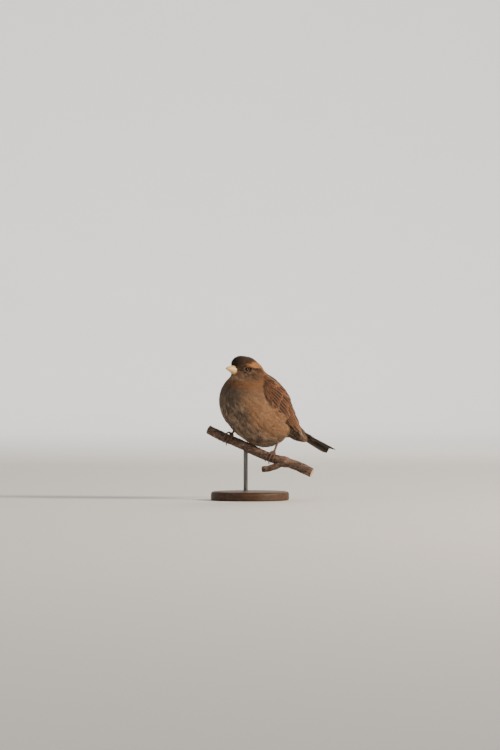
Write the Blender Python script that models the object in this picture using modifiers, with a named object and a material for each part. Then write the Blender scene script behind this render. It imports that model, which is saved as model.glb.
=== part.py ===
"""A life-size female house sparrow, fluffed up and at rest on a cut twig, on a plain display stand.

Metres, +Z up. The origin is the middle of the stand's underside. The bird's head points to -X, and its
body is turned so that the breast and the left side face -Y. Every size below is in millimetres: shapes
are made in millimetres and brought to metres when a piece is finished.
"""

import math

import bmesh
import bpy
from mathutils import Matrix, Vector
from mathutils.bvhtree import BVHTree

MM = 0.001
GAP = 0.3  # clear space between neighbouring pieces

# ---- driving dimensions --------------------------------------------------------------------------
BODY_AT = (5.5, 0.0, 87.7)  # middle of the trunk
BODY_TURN = 30.0  # degrees that the body is turned from -X towards -Y
HEAD_AT = (-6.2, -6.2, 119.4)  # middle of the head
HEAD_TURN = 40.0
HEAD_PITCH = 7.0
BILL_TIP = (21.0, -1.1)  # ahead of and above the middle of the head
BILL_LENGTH = 12.6  # gape to tip
UPPER_BILL_DEPTH = 5.4
LOWER_BILL_DEPTH = 4.3
BILL_WIDTH = 8.8
EYE_AT = (3.0, 7.1, 0.2)
EYE_RADIUS = 3.1
WING_ROOT_DEPTH = 1.3  # how far the folded wing is let into the flank
TAIL_AT = (-31.0, 0.0, -19.0)  # root of the tail quills
TAIL_PITCH = 26.5  # below level
TAIL_ROLL = -15.0  # the far side hangs
TAIL_LENGTH = 56.0
TAIL_WIDTH = 17.0
TAIL_NOTCH = 3.0
TARSUS_RADIUS = 1.15
TOE_RADIUS = 0.85
TWIG_RADIUS = 4.1
TWIG_YAW = -0.27  # the twig's run in Y for each millimetre in X
FEET = {"left": 20.5, "right": -18.5}  # where the feet hold the twig, along X
ANKLES = {"left": (28.0, -1.5, 60.0), "right": (-9.5, 9.5, 71.5)}
STAND_RADIUS = 36.0
STAND_HEIGHT = 8.0
ROD_X = -4.0
ROD_RADIUS = 2.0


# ---- frames --------------------------------------------------------------------------------------
def frame(at, turn, pitch=0.0, roll=0.0):
    """A frame whose x axis points forwards, y to the bird's left and z up its back."""
    turned = Matrix.Rotation(math.radians(180 + turn), 4, "Z")
    pitched = Matrix.Rotation(math.radians(-pitch), 4, "Y")
    rolled = Matrix.Rotation(math.radians(roll), 4, "X")
    return Matrix.Translation(at) @ turned @ pitched @ rolled


BODY = frame(BODY_AT, BODY_TURN)
HEAD = frame(HEAD_AT, HEAD_TURN, HEAD_PITCH)
TAIL = BODY @ Matrix.Translation(TAIL_AT) @ Matrix.Rotation(math.radians(180), 4, "Z")
TAIL = TAIL @ Matrix.Rotation(math.radians(TAIL_PITCH), 4, "Y")  # x runs along the quills, towards the tip
TAIL = TAIL @ Matrix.Rotation(math.radians(TAIL_ROLL), 4, "X")
SIDES = {"left": 1, "right": -1}


# ---- tools ---------------------------------------------------------------------------------------
for old in list(bpy.data.objects):
    bpy.data.objects.remove(old, do_unlink=True)

sparrow = bpy.data.collections.new("house_sparrow")
bpy.context.scene.collection.children.link(sparrow)


def material(name, colour, roughness, metallic=0.0):
    made = bpy.data.materials.new(name)
    made.use_nodes = True
    shader = made.node_tree.nodes["Principled BSDF"]
    shader.inputs["Base Color"].default_value = (*colour, 1.0)
    shader.inputs["Roughness"].default_value = roughness
    shader.inputs["Metallic"].default_value = metallic
    made.diffuse_color = (*colour, 1.0)
    return made


CROWN = material("crown_brown", (0.16, 0.09, 0.05), 0.8)
BUFF = material("breast_buff", (0.36, 0.29, 0.22), 0.85)
RUFOUS = material("wing_rufous", (0.30, 0.14, 0.06), 0.75)
DUSKY = material("quill_dusky", (0.07, 0.05, 0.04), 0.6)
HORN = material("bill_horn", (0.62, 0.48, 0.30), 0.4)
EYE_BLACK = material("eye_black", (0.01, 0.007, 0.005), 0.05)
LEG = material("leg_brown", (0.28, 0.15, 0.10), 0.6)
CLAW = material("claw_dark", (0.08, 0.06, 0.05), 0.4)
BARK = material("twig_bark", (0.22, 0.15, 0.11), 0.9)
WALNUT = material("stand_walnut", (0.10, 0.05, 0.03), 0.4)
STEEL = material("stand_steel", (0.25, 0.25, 0.26), 0.35, 1.0)


def mesh_from(bm, name):
    """Turns a bmesh into a mesh with its faces pointing out, and frees the bmesh."""
    bmesh.ops.recalc_face_normals(bm, faces=bm.faces)
    mesh = bpy.data.meshes.new(name)
    bm.to_mesh(mesh)
    bm.free()
    return mesh


def bmesh_from(mesh):
    bm = bmesh.new()
    bm.from_mesh(mesh)
    return bm


def evaluated(mesh, *modifiers):
    """The mesh after these modifiers, each a (type, settings) pair."""
    holder = bpy.data.objects.new("holder", mesh)
    bpy.context.scene.collection.objects.link(holder)
    for kind, settings in modifiers:
        modifier = holder.modifiers.new(kind.lower(), kind)
        for key, value in settings.items():
            setattr(modifier, key, value)
    bpy.context.view_layer.update()
    graph = bpy.context.evaluated_depsgraph_get()
    made = bpy.data.meshes.new_from_object(holder.evaluated_get(graph))
    bpy.data.objects.remove(holder)
    return made


def combined(mesh, operation, *others):
    """The mesh with each of the others cut from it or joined to it."""
    for other in others:
        tool = bpy.data.objects.new("tool", other)
        bpy.context.scene.collection.objects.link(tool)
        mesh = evaluated(mesh, ("BOOLEAN", {"operation": operation, "solver": "EXACT", "object": tool}))
        bpy.data.objects.remove(tool)
    return mesh


def half_space(point, normal):
    """A block that fills the space on the normal's side of a plane."""
    size = 300.0
    turned = normal.to_track_quat("Z", "Y").to_matrix().to_4x4()
    bm = bmesh.new()
    bmesh.ops.create_cube(bm, size=size, matrix=Matrix.Translation(point + normal * size / 2) @ turned)
    return mesh_from(bm, "half_space")


def largest_body(mesh):
    """The mesh without the crumbs that a cut may leave."""
    bm = bmesh_from(mesh)
    bmesh.ops.remove_doubles(bm, verts=bm.verts, dist=0.002)
    left = set(bm.verts)
    shells = []
    while left:
        shell = {left.pop()}
        edge = list(shell)
        while edge:
            near = {e.other_vert(v) for v in edge for e in v.link_edges} & left
            left -= near
            shell |= near
            edge = list(near)
        shells.append(shell)
    for shell in sorted(shells, key=len)[:-1]:
        bmesh.ops.delete(bm, geom=list(shell), context="VERTS")
    return mesh_from(bm, mesh.name)


def finish(name, mesh, look, place=None):
    """Brings a mesh from world millimetres to metres and adds it as a named piece, placed by its frame."""
    place = place or Matrix.Identity(4)
    mesh.transform(place.inverted())
    mesh.transform(Matrix.Scale(MM, 4))
    mesh.materials.clear()
    mesh.materials.append(look)
    mesh.shade_smooth()
    mesh.set_sharp_from_angle(angle=math.radians(50))
    mesh.name = name
    piece = bpy.data.objects.new(name, mesh)
    piece.location = place.to_translation() * MM
    piece.rotation_euler = place.to_euler()
    sparrow.objects.link(piece)
    return piece


def add_egg(bm, place, front, rear, width, back, belly, segments=32):
    """Adds an egg: half lengths ahead and behind, half width, and half depths above and below."""
    made = bmesh.ops.create_uvsphere(bm, u_segments=segments, v_segments=segments // 2, radius=1.0)
    for vertex in made["verts"]:
        x, y, z = vertex.co
        local = Vector((x * (front if x > 0 else rear), y * width, z * (back if z > 0 else belly)))
        vertex.co = place @ local


def loft(rings, name):
    """A closed body through rings of points, one to the next, with a fan over each end."""
    bm = bmesh.new()
    rows = [[bm.verts.new(point) for point in ring] for ring in rings]
    count = len(rows[0])
    for row, following in zip(rows, rows[1:]):
        for i in range(count):
            j = (i + 1) % count
            bm.faces.new((row[i], row[j], following[j], following[i]))
    for row in (rows[0], rows[-1]):
        middle = bm.verts.new(sum((v.co for v in row), Vector()) / count)
        for i in range(count):
            bm.faces.new((row[i], row[(i + 1) % count], middle))
    return mesh_from(bm, name)


def even(count):
    """Evenly spaced shares from 0 to 1."""
    return [i / (count - 1) for i in range(count)]


def half_turn(steps):
    """Angles from 0 to half a turn."""
    return [math.pi * k / steps for k in range(steps + 1)]


def smooth_step(low, high, value):
    t = min(max((value - low) / (high - low), 0.0), 1.0)
    return t * t * (3 - 2 * t)


def along(points, t):
    """The place at t, from 0 to 1, on a smooth curve through evenly spaced points."""
    last = len(points) - 1
    i = min(int(t * last), last - 1)
    f = t * last - i
    p = [Vector(points[min(max(i + k, 0), last)]) for k in (-1, 0, 1, 2)]
    return 0.5 * (
        2 * p[1] + (p[2] - p[0]) * f + (2 * p[0] - 5 * p[1] + 4 * p[2] - p[3]) * f**2
        + (3 * p[1] - p[0] - 3 * p[2] + p[3]) * f**3
    )


def tube(name, points, radii, sides=10):
    """A round, closed tube along points, with a radius at each, made as a bevelled curve."""
    curve = bpy.data.curves.new(name, "CURVE")
    curve.dimensions = "3D"
    curve.bevel_depth = 1.0
    curve.bevel_resolution = sides // 2 - 2
    curve.use_fill_caps = True
    spline = curve.splines.new("POLY")
    spline.points.add(len(points) - 1)
    for control, point, radius in zip(spline.points, points, radii):
        control.co = (*point, 1.0)
        control.radius = radius
    holder = bpy.data.objects.new(name, curve)
    bpy.context.scene.collection.objects.link(holder)
    bpy.context.view_layer.update()
    graph = bpy.context.evaluated_depsgraph_get()
    mesh = bpy.data.meshes.new_from_object(holder.evaluated_get(graph))
    bpy.data.objects.remove(holder)
    bm = bmesh_from(mesh)
    bmesh.ops.remove_doubles(bm, verts=bm.verts, dist=0.001)
    return mesh_from(bm, name)


# ---- the feathered body: head, neck, trunk and rump as one soft form -----------------------------
def body_form():
    """The outer form of the plumage, blended from a few eggs set in the body's and the head's frames."""
    bm = bmesh.new()

    def in_body(ahead, up, pitch):
        return BODY @ Matrix.Translation((ahead, 0, up)) @ Matrix.Rotation(math.radians(-pitch), 4, "Y")

    def in_head(ahead, up):
        return HEAD @ Matrix.Translation((ahead, 0, up))

    add_egg(bm, in_body(9.0, 2.0, 62), 29, 28, 25.5, 26, 26.5)  # breast
    add_egg(bm, in_body(15.0, 13.0, 30), 15, 18, 16, 14, 14)  # throat
    add_egg(bm, in_body(1.0, -5.5, 50), 25, 28, 27.0, 27, 27.5)  # waist, where breast and belly meet
    add_egg(bm, in_body(-8.5, -11.5, 38), 27, 28, 26.5, 27, 27.5)  # belly
    add_egg(bm, in_body(-13.0, 6.0, 55), 27, 34, 22, 16.5, 20)  # mantle
    add_egg(bm, in_body(-27.0, -13.5, 38), 18, 21, 16, 12, 13)  # rump
    add_egg(bm, in_body(-34.0, -20.0, 24), 12, 21, 9.5, 6.0, 6.5)  # tail coverts
    add_egg(bm, in_body(-41.0, -26.3, 28), 15, 17, 7.0, 4, 6.0)  # under tail coverts
    add_egg(bm, in_body(2.0, 20.0, 60), 18, 18, 18, 14, 18)  # neck
    add_egg(bm, in_head(-2.0, 1.0), 12.0, 15.5, 12.0, 12.6, 13.0)  # skull
    add_egg(bm, in_head(-8.5, -1.0), 12.0, 13.0, 13.0, 11.5, 12.0)  # nape
    add_egg(bm, in_head(3.3, 4.4), 10.0, 11, 9.8, 9.0, 4.6)  # forehead
    add_egg(bm, in_head(-0.5, -4.5), 10.0, 12.5, 12.8, 8, 10.0)  # cheeks
    add_egg(bm, in_head(5.2, -0.6), 7.3, 8, 8.0, 6.5, 6.5)  # lores, round the root of the bill
    add_egg(bm, in_head(6.0, -8.0), 6.5, 8, 5.6, 3, 5)  # chin
    bmesh.ops.triangulate(bm, faces=bm.faces)
    return evaluated(
        mesh_from(bm, "body_form"),
        ("REMESH", {"mode": "VOXEL", "voxel_size": 1.3}),
        ("SMOOTH", {"factor": 0.5, "iterations": 14}),
        ("DECIMATE", {"ratio": 0.058}),
    )


# ---- bill and eyes -------------------------------------------------------------------------------
def bill_section(back, upper):
    """(seam's height, half width, depth) of one mandible, at a share of its length back from the tip."""
    seam = BILL_TIP[1] - 0.9 * back**1.6
    if upper:
        return seam, BILL_WIDTH / 2 * back**0.62 + 0.2, UPPER_BILL_DEPTH * back**0.6 + 0.2
    return seam, BILL_WIDTH / 2 * back**0.75 + 0.2, LOWER_BILL_DEPTH * back**0.95 + 0.2


def bill_half(upper):
    """One mandible as a loft from its root, inside the face, to its tip."""
    side = 1 if upper else -1
    rings = []
    for share in even(8):
        back = (1 - share) ** 1.25
        seam, width, depth = bill_section(back, upper)
        ring = [(0.0, side * GAP / 2)]
        ring += [(width * math.cos(a), side * (GAP / 2 + depth * math.sin(a) ** 0.85)) for a in half_turn(8)]
        ahead = BILL_TIP[0] - BILL_LENGTH * back
        rings.append([HEAD @ Vector((ahead, y, seam + z)) for y, z in ring])
    return loft(rings, "bill")


def bill_room():
    """The room that the whole bill takes from the face, with a gap all round."""
    rings = []
    for back in (1 + GAP / BILL_LENGTH, 0.8, 0.6, 0.4, 0.2):
        ring = []
        for upper in (True, False):
            seam, width, depth = bill_section(back, upper)
            width, depth = BILL_WIDTH / 2 * back**0.62 + 0.2 + GAP, depth + 1.5 * GAP
            side = 1 if upper else -1
            angles = half_turn(8) if upper else half_turn(8)[1:-1]
            ring += [(side * width * math.cos(a), side * depth * math.sin(a) ** 0.85) for a in angles]
        ahead = BILL_TIP[0] - BILL_LENGTH * back
        rings.append([HEAD @ Vector((ahead, y, seam + z)) for y, z in ring])
    return loft(rings, "bill_room")


def eye(sign, grow=0.0):
    """One eyeball. Grown, it is the cutter for its socket."""
    place = HEAD @ Matrix.Translation((EYE_AT[0], sign * EYE_AT[1], EYE_AT[2]))
    place = place @ Matrix.Rotation(math.radians(90), 4, "X")
    bm = bmesh.new()
    bmesh.ops.create_uvsphere(bm, u_segments=14, v_segments=8, radius=EYE_RADIUS + grow, matrix=place)
    return mesh_from(bm, "eye")


# ---- folded wings --------------------------------------------------------------------------------
# Places on the left wing in the body's frame, from the bend of the wing to the tip of the primaries.
WING_LOWER_EDGE = ((8, 21, 17), (-2.4, 27, -3), (-18.5, 23.5, -17.5), (-35, 15, -26.5), (-47.5, 8.5, -32.5))
WING_UPPER_EDGE = ((-3, 15, 25), (-14, 13.5, 14), (-26.5, 10.5, 1), (-38, 7, -13.5), (-46.5, 7, -29.5))
WING_AXIS = ((1, 0, 13), (-7, 0, 4), (-18, 0, -8), (-31, 0, -19), (-45, 0, -30))


def wing_sheet(form, side, rows=29, columns=17):
    """The folded wing's surface: rows of places from bend to tip, each from the lower to the upper edge."""
    tree = BVHTree.FromPolygons([v.co for v in form.vertices], [p.vertices[:] for p in form.polygons])
    turn = BODY.to_3x3()
    sheet = []
    for i in range(rows):
        u = i / (rows - 1)
        middle = along(WING_AXIS, u)
        lower, upper = along(WING_LOWER_EDGE, u) - middle, along(WING_UPPER_EDGE, u) - middle
        row = []
        for j in range(columns):
            v = j / (columns - 1)
            way = (lower.normalized() * (1 - v) + upper.normalized() * v).normalized()
            reach = lower.length * (1 - v) + upper.length * v
            way = Vector((way.x, way.y * side, way.z))
            start = BODY @ middle
            hit, _, _, distance = tree.ray_cast(start, turn @ way)
            if hit is not None:
                reach = max(reach, distance) if u > 0.3 else distance
            row.append(start + turn @ way * reach)
        sheet.append(row)
    for _ in range(3):  # ease the steps where the sheet leaves the body
        sheet = [
            [
                (row[j] * 2 + sheet[max(i - 1, 0)][j] + sheet[min(i + 1, rows - 1)][j]) / 4
                for j in range(columns)
            ]
            for i, row in enumerate(sheet)
        ]
    return sheet


def on_sheet(sheet, u, v):
    """(place, outward normal) on a wing sheet."""
    rows, columns = len(sheet) - 1, len(sheet[0]) - 1

    def at(u, v):
        x, y = min(max(u, 0), 1) * rows, min(max(v, 0), 1) * columns
        i, j = min(int(x), rows - 1), min(int(y), columns - 1)
        f, g = x - i, y - j
        near = sheet[i][j] * (1 - g) + sheet[i][j + 1] * g
        return near * (1 - f) + (sheet[i + 1][j] * (1 - g) + sheet[i + 1][j + 1] * g) * f

    place = at(u, v)
    run = at(min(u + 0.02, 1), v) - at(max(u - 0.02, 0), v)
    across = at(u, min(v + 0.04, 1)) - at(u, max(v - 0.04, 0))
    normal = run.cross(across).normalized()
    outwards = place - BODY @ along(WING_AXIS, min(max(u, 0), 1))
    return place, normal if normal.dot(outwards) > 0 else -normal


def stepped(feathers):
    """Shares across a row of feathers, two close together at each feather's edge."""
    inner = [k / feathers + side for k in range(1, feathers) for side in (-0.004, 0.004)]
    return [0.0, *inner, 1.0]


def ridge(t, feathers, height):
    """How far a feather stands up at a share across: nothing at its covered edge, all at its free edge."""
    return height * ((1 - t) * feathers % 1.0)


def closed_plate(above, below, name):
    """A closed body between two grids of points."""
    bm = bmesh.new()
    above = [[bm.verts.new(p) for p in row] for row in above]
    below = [[bm.verts.new(p) for p in row] for row in below]
    rows, columns = len(above), len(above[0])
    for i in range(rows - 1):
        for j in range(columns - 1):
            bm.faces.new((above[i][j], above[i][j + 1], above[i + 1][j + 1], above[i + 1][j]))
            bm.faces.new((below[i][j], below[i + 1][j], below[i + 1][j + 1], below[i][j + 1]))
        for j in (0, columns - 1):
            bm.faces.new((above[i][j], above[i + 1][j], below[i + 1][j], below[i][j]))
    for j in range(columns - 1):
        for i in (0, rows - 1):
            bm.faces.new((above[i][j], above[i][j + 1], below[i][j + 1], below[i][j]))
    return mesh_from(bm, name)


def wing_plate(sheet, u_at, v_at, along_it, across_it, outer, inner, name, spread=0.0, thinning=0.0):
    """A closed plate over part of a wing sheet.

    u_at and v_at give the place's u and v from the shares s and t along and across the plate. outer and
    inner are how far its faces stand off the sheet, thinning is the share of inner lost by the far end, and
    spread is how far its rim is pushed out.
    """
    above, below = [], []
    for s in along_it:
        upper_row, lower_row = [], []
        for t in across_it:
            place, normal = on_sheet(sheet, u_at(s, t), v_at(s, t))
            pushed = place.copy()
            if spread and s in (0, 1):
                nearby, _ = on_sheet(sheet, u_at(0.08 + 0.84 * s, t), v_at(s, t))
                pushed += (place - nearby).normalized() * spread * (1 + 3 * s)
            if spread and t in (0, 1):
                nearby, _ = on_sheet(sheet, u_at(s, t), v_at(s, 0.08 + 0.84 * t))
                pushed += (place - nearby).normalized() * spread
            upper_row.append(pushed + normal * outer(s, t))
            lower_row.append(pushed - normal * inner * (1 - thinning * s))
        above.append(upper_row)
        below.append(lower_row)
    return closed_plate(above, below, name)


COVERT_END = 0.46  # how far down the wing the coverts reach
PRIMARY_BAND = 0.26  # share of the wing's breadth in which the primaries show
FLIGHT_END = 0.86  # how far down the wing the longest tertial reaches
SEAM = 0.005  # half of the gap between feather groups, as a share of the wing
COVERT_ROWS = (0, 0.17, 0.333, 0.34, 0.5, 0.667, 0.674, 0.84, 1)  # lesser, median and greater coverts


def wing_bend(t):
    """Where the rounded bend of the wing starts, at a share across it."""
    return 0.03 + 0.10 * (2 * t - 1) ** 2


def covert_edge(v):
    return COVERT_END + 0.05 * math.sin(math.pi * v)


def wing_pieces(sheet):
    """The three feather groups of a folded wing: coverts, secondaries with tertials, and primaries."""
    shown = 1 - PRIMARY_BAND

    def covert_u(s, t):
        return wing_bend(t) + s * (covert_edge(t) - SEAM - wing_bend(t))

    def covert_rise(s, t):
        return 1.0 + 0.5 * math.sin(math.pi * t) * s + 0.4 * ((s * 3 - 1e-6) % 1.0)

    def secondary_v(s, t):
        return PRIMARY_BAND + 2 * SEAM + t * (shown - 2 * SEAM)

    def secondary_u(s, t):
        start = covert_edge(secondary_v(s, t)) + SEAM
        return start + s * (FLIGHT_END - 0.10 * (1 - t) ** 2 - SEAM - start)

    def primary_v(s, t):
        breadth = PRIMARY_BAND - 2 * SEAM + shown * smooth_step(0.74, 0.92, s)
        return t * min(breadth, 1.0)

    def primary_u(s, t):
        start = covert_edge(t * PRIMARY_BAND) + SEAM
        return start + s * (0.995 - start)

    return {
        "coverts": wing_plate(
            sheet, covert_u, lambda s, t: 0.01 + 0.98 * t, COVERT_ROWS, even(9), covert_rise,
            WING_ROOT_DEPTH, "coverts",
        ),
        "secondaries": wing_plate(
            sheet, secondary_u, secondary_v, even(5), stepped(6),
            lambda s, t: 0.5 + ridge(t, 6, 0.6), WING_ROOT_DEPTH, "secondaries",
        ),
        "primaries": wing_plate(
            sheet, primary_u, primary_v, even(9), stepped(4),
            lambda s, t: 0.3 + ridge(t, 4, 0.4), WING_ROOT_DEPTH * 0.8, "primaries", thinning=0.5,
        ),
    }


def wing_room(sheet):
    """The room that a folded wing takes from the body, with a gap all round."""
    return wing_plate(
        sheet, lambda s, t: wing_bend(t) + s * (1 - wing_bend(t)), lambda s, t: t, even(15), even(8),
        lambda s, t: 6.0, WING_ROOT_DEPTH + 2 * GAP, "wing_room", 1.5 * GAP,
    )


def tip_room(sheet):
    """Clear air round the tip of a folded wing."""
    corner, _ = on_sheet(sheet, 1.0, 1.0)
    bm = bmesh.new()
    bmesh.ops.create_uvsphere(bm, u_segments=10, v_segments=6, radius=2.4, matrix=Matrix.Translation(corner))
    return mesh_from(bm, "tip_room")


# ---- tail ----------------------------------------------------------------------------------------
def tail_half_width(s):
    return 4.0 + (TAIL_WIDTH / 2 - 4.0) * s**0.8


def tail_end(t):
    """How far short of the full length a feather ends, at a place from -1 to 1 across the tail."""
    return TAIL_NOTCH * (1 - abs(t)) ** 1.3 + 2.2 * abs(t) ** 6


def tail_roof(t, half):
    """How high the middle of the tail's thickness stands, at a place from -1 to 1 across."""
    return 1.0 - 0.10 * t * t * half


def tail_plate():
    """The closed tail: twelve feathers, each a ridge that lies over the next one out."""
    across = stepped(12)
    above, below = [], []
    for s in even(7):
        half = tail_half_width(s)
        upper_row, lower_row = [], []
        for share in across:
            t = 2 * share - 1
            reach = TAIL_LENGTH * s - tail_end(t) * smooth_step(0.5, 1.0, s)
            roof = tail_roof(t, half)
            rise = ridge(share, 12, 0.3) if t < 0 else ridge(1 - share, 12, 0.3)
            upper_row.append(TAIL @ Vector((reach, t * half, roof + 0.45 + rise)))
            lower_row.append(TAIL @ Vector((reach, t * half, roof - 0.4 + 0.15 * s)))
        above.append(upper_row)
        below.append(lower_row)
    return closed_plate(above, below, "tail")


def tail_room():
    """The slot that the tail's root takes from the body, with a gap all round."""
    above, below = [], []
    for s in even(6):
        half = tail_half_width(s) + GAP
        reach = TAIL_LENGTH * s + GAP * (2 * s - 1)
        places = [TAIL @ Vector((reach, t * half, tail_roof(t, half))) for t in (-1, -0.5, 0, 0.5, 1)]
        up = TAIL.to_3x3() @ Vector((0, 0, 1))
        above.append([place + up * (0.8 + GAP) for place in places])
        below.append([place - up * (0.45 + GAP) for place in places])
    return closed_plate(above, below, "tail_room")


# ---- twig and stand ------------------------------------------------------------------------------
TWIG_LINE = (  # X and Z of its middle, from the left end
    (-38.6, 64.9), (-25.0, 58.0), (-10.4, 52.2), (3.0, 45.9),
    (16.6, 40.0), (30.1, 35.9), (43.6, 31.6), (57.0, 25.2),
)
FORK_X = 31.0
KNOTS = ((-27.0, 0.5), (1.0, 0.45), (31.0, 1.1), (47.0, 0.4))  # swellings: place along X, and height


def twig_middle(x):
    """(place, direction, radius) of the twig at X."""
    start, end = TWIG_LINE[0][0], TWIG_LINE[-1][0]

    def at(share):
        flat = along([(p[0], 0.0, p[1]) for p in TWIG_LINE], share)
        return Vector((flat.x, TWIG_YAW * flat.x, flat.z))

    low, high = 0.0, 1.0
    for _ in range(24):
        share = (low + high) / 2
        low, high = (share, high) if at(share).x < x else (low, share)
    place = at(share)
    direction = (at(min(share + 0.01, 1)) - at(max(share - 0.01, 0))).normalized()
    radius = TWIG_RADIUS + 0.3 * (x - start) / (end - start)
    return place, direction, radius


def twig_stem(grow=0.0):
    """The twig without its side shoot. Grown, it is the cutter that leaves room for it."""
    start, end = TWIG_LINE[0][0], TWIG_LINE[-1][0]
    points, radii = [], []
    for i in range(24):
        x = start + (end - start) * i / 23
        place, _, radius = twig_middle(x)
        swelling = sum(rise * math.exp(-(((x - at) / 2.6) ** 2)) for at, rise in KNOTS)
        points.append(place)
        radii.append(radius + swelling - 0.12 * math.sin(x * 0.9) + grow)
    return tube("twig", points, radii, 10)


def twig():
    """The twig and the stub of a side shoot that forks off below."""
    fork, _, _ = twig_middle(FORK_X)
    steps = ((0, 0, -0.5), (-7, -0.5, -4.2), (-14, 0.5, -6.6), (-20, 1.8, -7.2))
    shoot = [fork + Vector(step) for step in steps]
    return combined(twig_stem(), "UNION", tube("shoot", shoot, (3.2, 3.1, 2.9, 2.8), 10))


def turned(name, profile, segments=30):
    """A round body from (radius, height) steps, turned about the Z axis by a full spin."""
    bm = bmesh.new()
    points = [bm.verts.new((radius, 0.0, height)) for radius, height in profile]
    edges = [bm.edges.new(pair) for pair in zip(points, points[1:])]
    bmesh.ops.spin(
        bm, geom=points + edges, axis=(0, 0, 1), angle=math.tau, steps=segments, use_merge=True
    )
    bmesh.ops.remove_doubles(bm, verts=bm.verts, dist=0.001)
    return mesh_from(bm, name)


# ---- legs and feet -------------------------------------------------------------------------------
TOES = {  # where a toe leaves and ends along the twig, its wrap in degrees, and its claw's further wrap
    "inner": (-0.9, -4.0, 118, 34),
    "middle": (0.0, -1.0, 158, 34),
    "outer": (0.9, 2.2, 98, 28),
    "hind": (0.2, 0.6, -104, -34),
}


ARCHED = {("right", "inner"): 2.6}  # how high a toe stands off the twig on its way round


def around_twig(x, angle, radius):
    """A place beside the twig at X: 0 degrees is on top, and the angle grows over its near side."""
    place, direction, _ = twig_middle(x)
    near = direction.cross(Vector((0, 0, 1))).normalized()
    up = near.cross(direction).normalized()
    a = math.radians(angle)
    return place + (up * math.cos(a) + near * math.sin(a)) * radius


def toe_line(side, toe, steps, first=0.0, last=1.0):
    """Places along a toe's middle, and on past its end along its claw."""
    leaves, ends, wrap, claw = TOES[toe]
    points = []
    for i in range(steps):
        share = first + (last - first) * i / (steps - 1)
        along_twig = leaves + (ends - leaves) * min(share * 1.6, 1.0)
        x = FEET[side] + along_twig
        angle = wrap * min(share, 1.0) + claw * max(share - 1.0, 0.0)
        _, _, radius = twig_middle(x)
        knuckle = 0.25 * math.sin(share * math.pi * 3) ** 2 if share < 1 else 0.0
        knuckle += ARCHED.get((side, toe), 0.0) * math.sin(math.pi * min(share / 0.75, 1.0)) ** 2
        points.append(around_twig(x, angle, radius + TOE_RADIUS + 0.75 + knuckle))
    return points


def leg(side, grow=0.0):
    """The bare part of a leg: tarsus and toes in one. Grown, it is the cutter for the tarsus's pocket."""
    _, _, radius = twig_middle(FEET[side])
    foot = around_twig(FEET[side], 0, radius + TOE_RADIUS + 0.75)
    ankle = Vector(ANKLES[side])
    run = (ankle - foot).normalized()
    points = [foot, foot + run * 2.5, foot.lerp(ankle, 0.5), ankle - run * 2.5, ankle + run * grow]
    radii = [TARSUS_RADIUS * share + grow for share in (1.2, 1, 1, 1, 1.35)]
    tarsus = tube("leg", points, radii, 8)
    if grow:
        return tarsus
    toes = []
    for toe in TOES:
        line = toe_line(side, toe, 9)
        toes.append(tube("toe", line, [TOE_RADIUS * (1.05 - 0.2 * i / 8) for i in range(9)], 6))
    return combined(tarsus, "UNION", *toes)


def claw(side, toe):
    line = toe_line(side, toe, 5, 1.06, 2.0)
    return tube("claw", line, [0.6, 0.55, 0.44, 0.3, 0.14], 6)


def thigh_room(side, grow=0.0):
    """The part of the body form that is one feathered upper leg, round the ankle."""
    place = Matrix.Translation(Vector(ANKLES[side]) + Vector((-1.0, -0.5 * SIDES[side], 3.0)))
    place = place @ Matrix.Rotation(math.radians(24), 4, "Y")
    bm = bmesh.new()
    add_egg(bm, place, 8.5 + grow, 8.5 + grow, 8.0 + grow, 12.0 + grow, 11.0 + grow, 14)
    return mesh_from(bm, "thigh")


# ---- the pieces ----------------------------------------------------------------------------------
form = body_form()
sheets = {side: wing_sheet(form, sign) for side, sign in SIDES.items()}
rooms = [wing_room(sheet) for sheet in sheets.values()]
rooms += [eye(sign, GAP) for sign in SIDES.values()]
rooms += [bill_room(), tail_room()]
rooms += [leg(side, GAP) for side in SIDES] + [tip_room(sheet) for sheet in sheets.values()]
whole = combined(form, "DIFFERENCE", *rooms)
body = combined(whole.copy(), "DIFFERENCE", *[thigh_room(side, GAP) for side in SIDES])

HEAD_CUT = (Vector((0.0, 0.0, 115.8)), Vector((-0.12, -0.05, 0.99)).normalized())
NECK_CUT = (Vector((0.0, 0.0, 103.0)), Vector((-0.21, -0.10, 0.97)).normalized())
RUMP_CUT = (BODY @ Vector((-30.0, 0.0, -15.0)), BODY.to_3x3() @ Vector((-0.90, 0.0, -0.43)).normalized())


def beyond(mesh, cut, turned_over=False):
    """The part of the mesh beyond a cut, or before it, with half a gap taken off."""
    point, normal = cut
    normal = -normal if turned_over else normal
    return combined(mesh, "INTERSECT", half_space(point + normal * GAP / 2, normal))


head = beyond(body, HEAD_CUT)
neck = beyond(beyond(body, HEAD_CUT, True), NECK_CUT)
trunk = beyond(beyond(body, NECK_CUT, True), RUMP_CUT, True)
rump = beyond(beyond(body, NECK_CUT, True), RUMP_CUT)

finish("head", largest_body(head), CROWN)
finish("neck", largest_body(neck), BUFF)
finish("trunk", largest_body(trunk), BUFF)
finish("rump", largest_body(rump), CROWN)
finish("bill_upper", bill_half(True), HORN)
finish("bill_lower", bill_half(False), HORN)
for side, sign in SIDES.items():
    finish(f"eye_{side}", eye(sign), EYE_BLACK)
    for part, mesh in wing_pieces(sheets[side]).items():
        finish(f"wing_{side}_{part}", mesh, RUFOUS if part == "coverts" else DUSKY)
    finish(f"thigh_{side}", largest_body(combined(whole.copy(), "INTERSECT", thigh_room(side))), BUFF)
    finish(f"leg_{side}", leg(side), LEG)
    for toe in TOES:
        finish(f"claw_{side}_{toe}", claw(side, toe), CLAW)
finish("tail", tail_plate(), DUSKY)
finish("perch", twig(), BARK)

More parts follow.
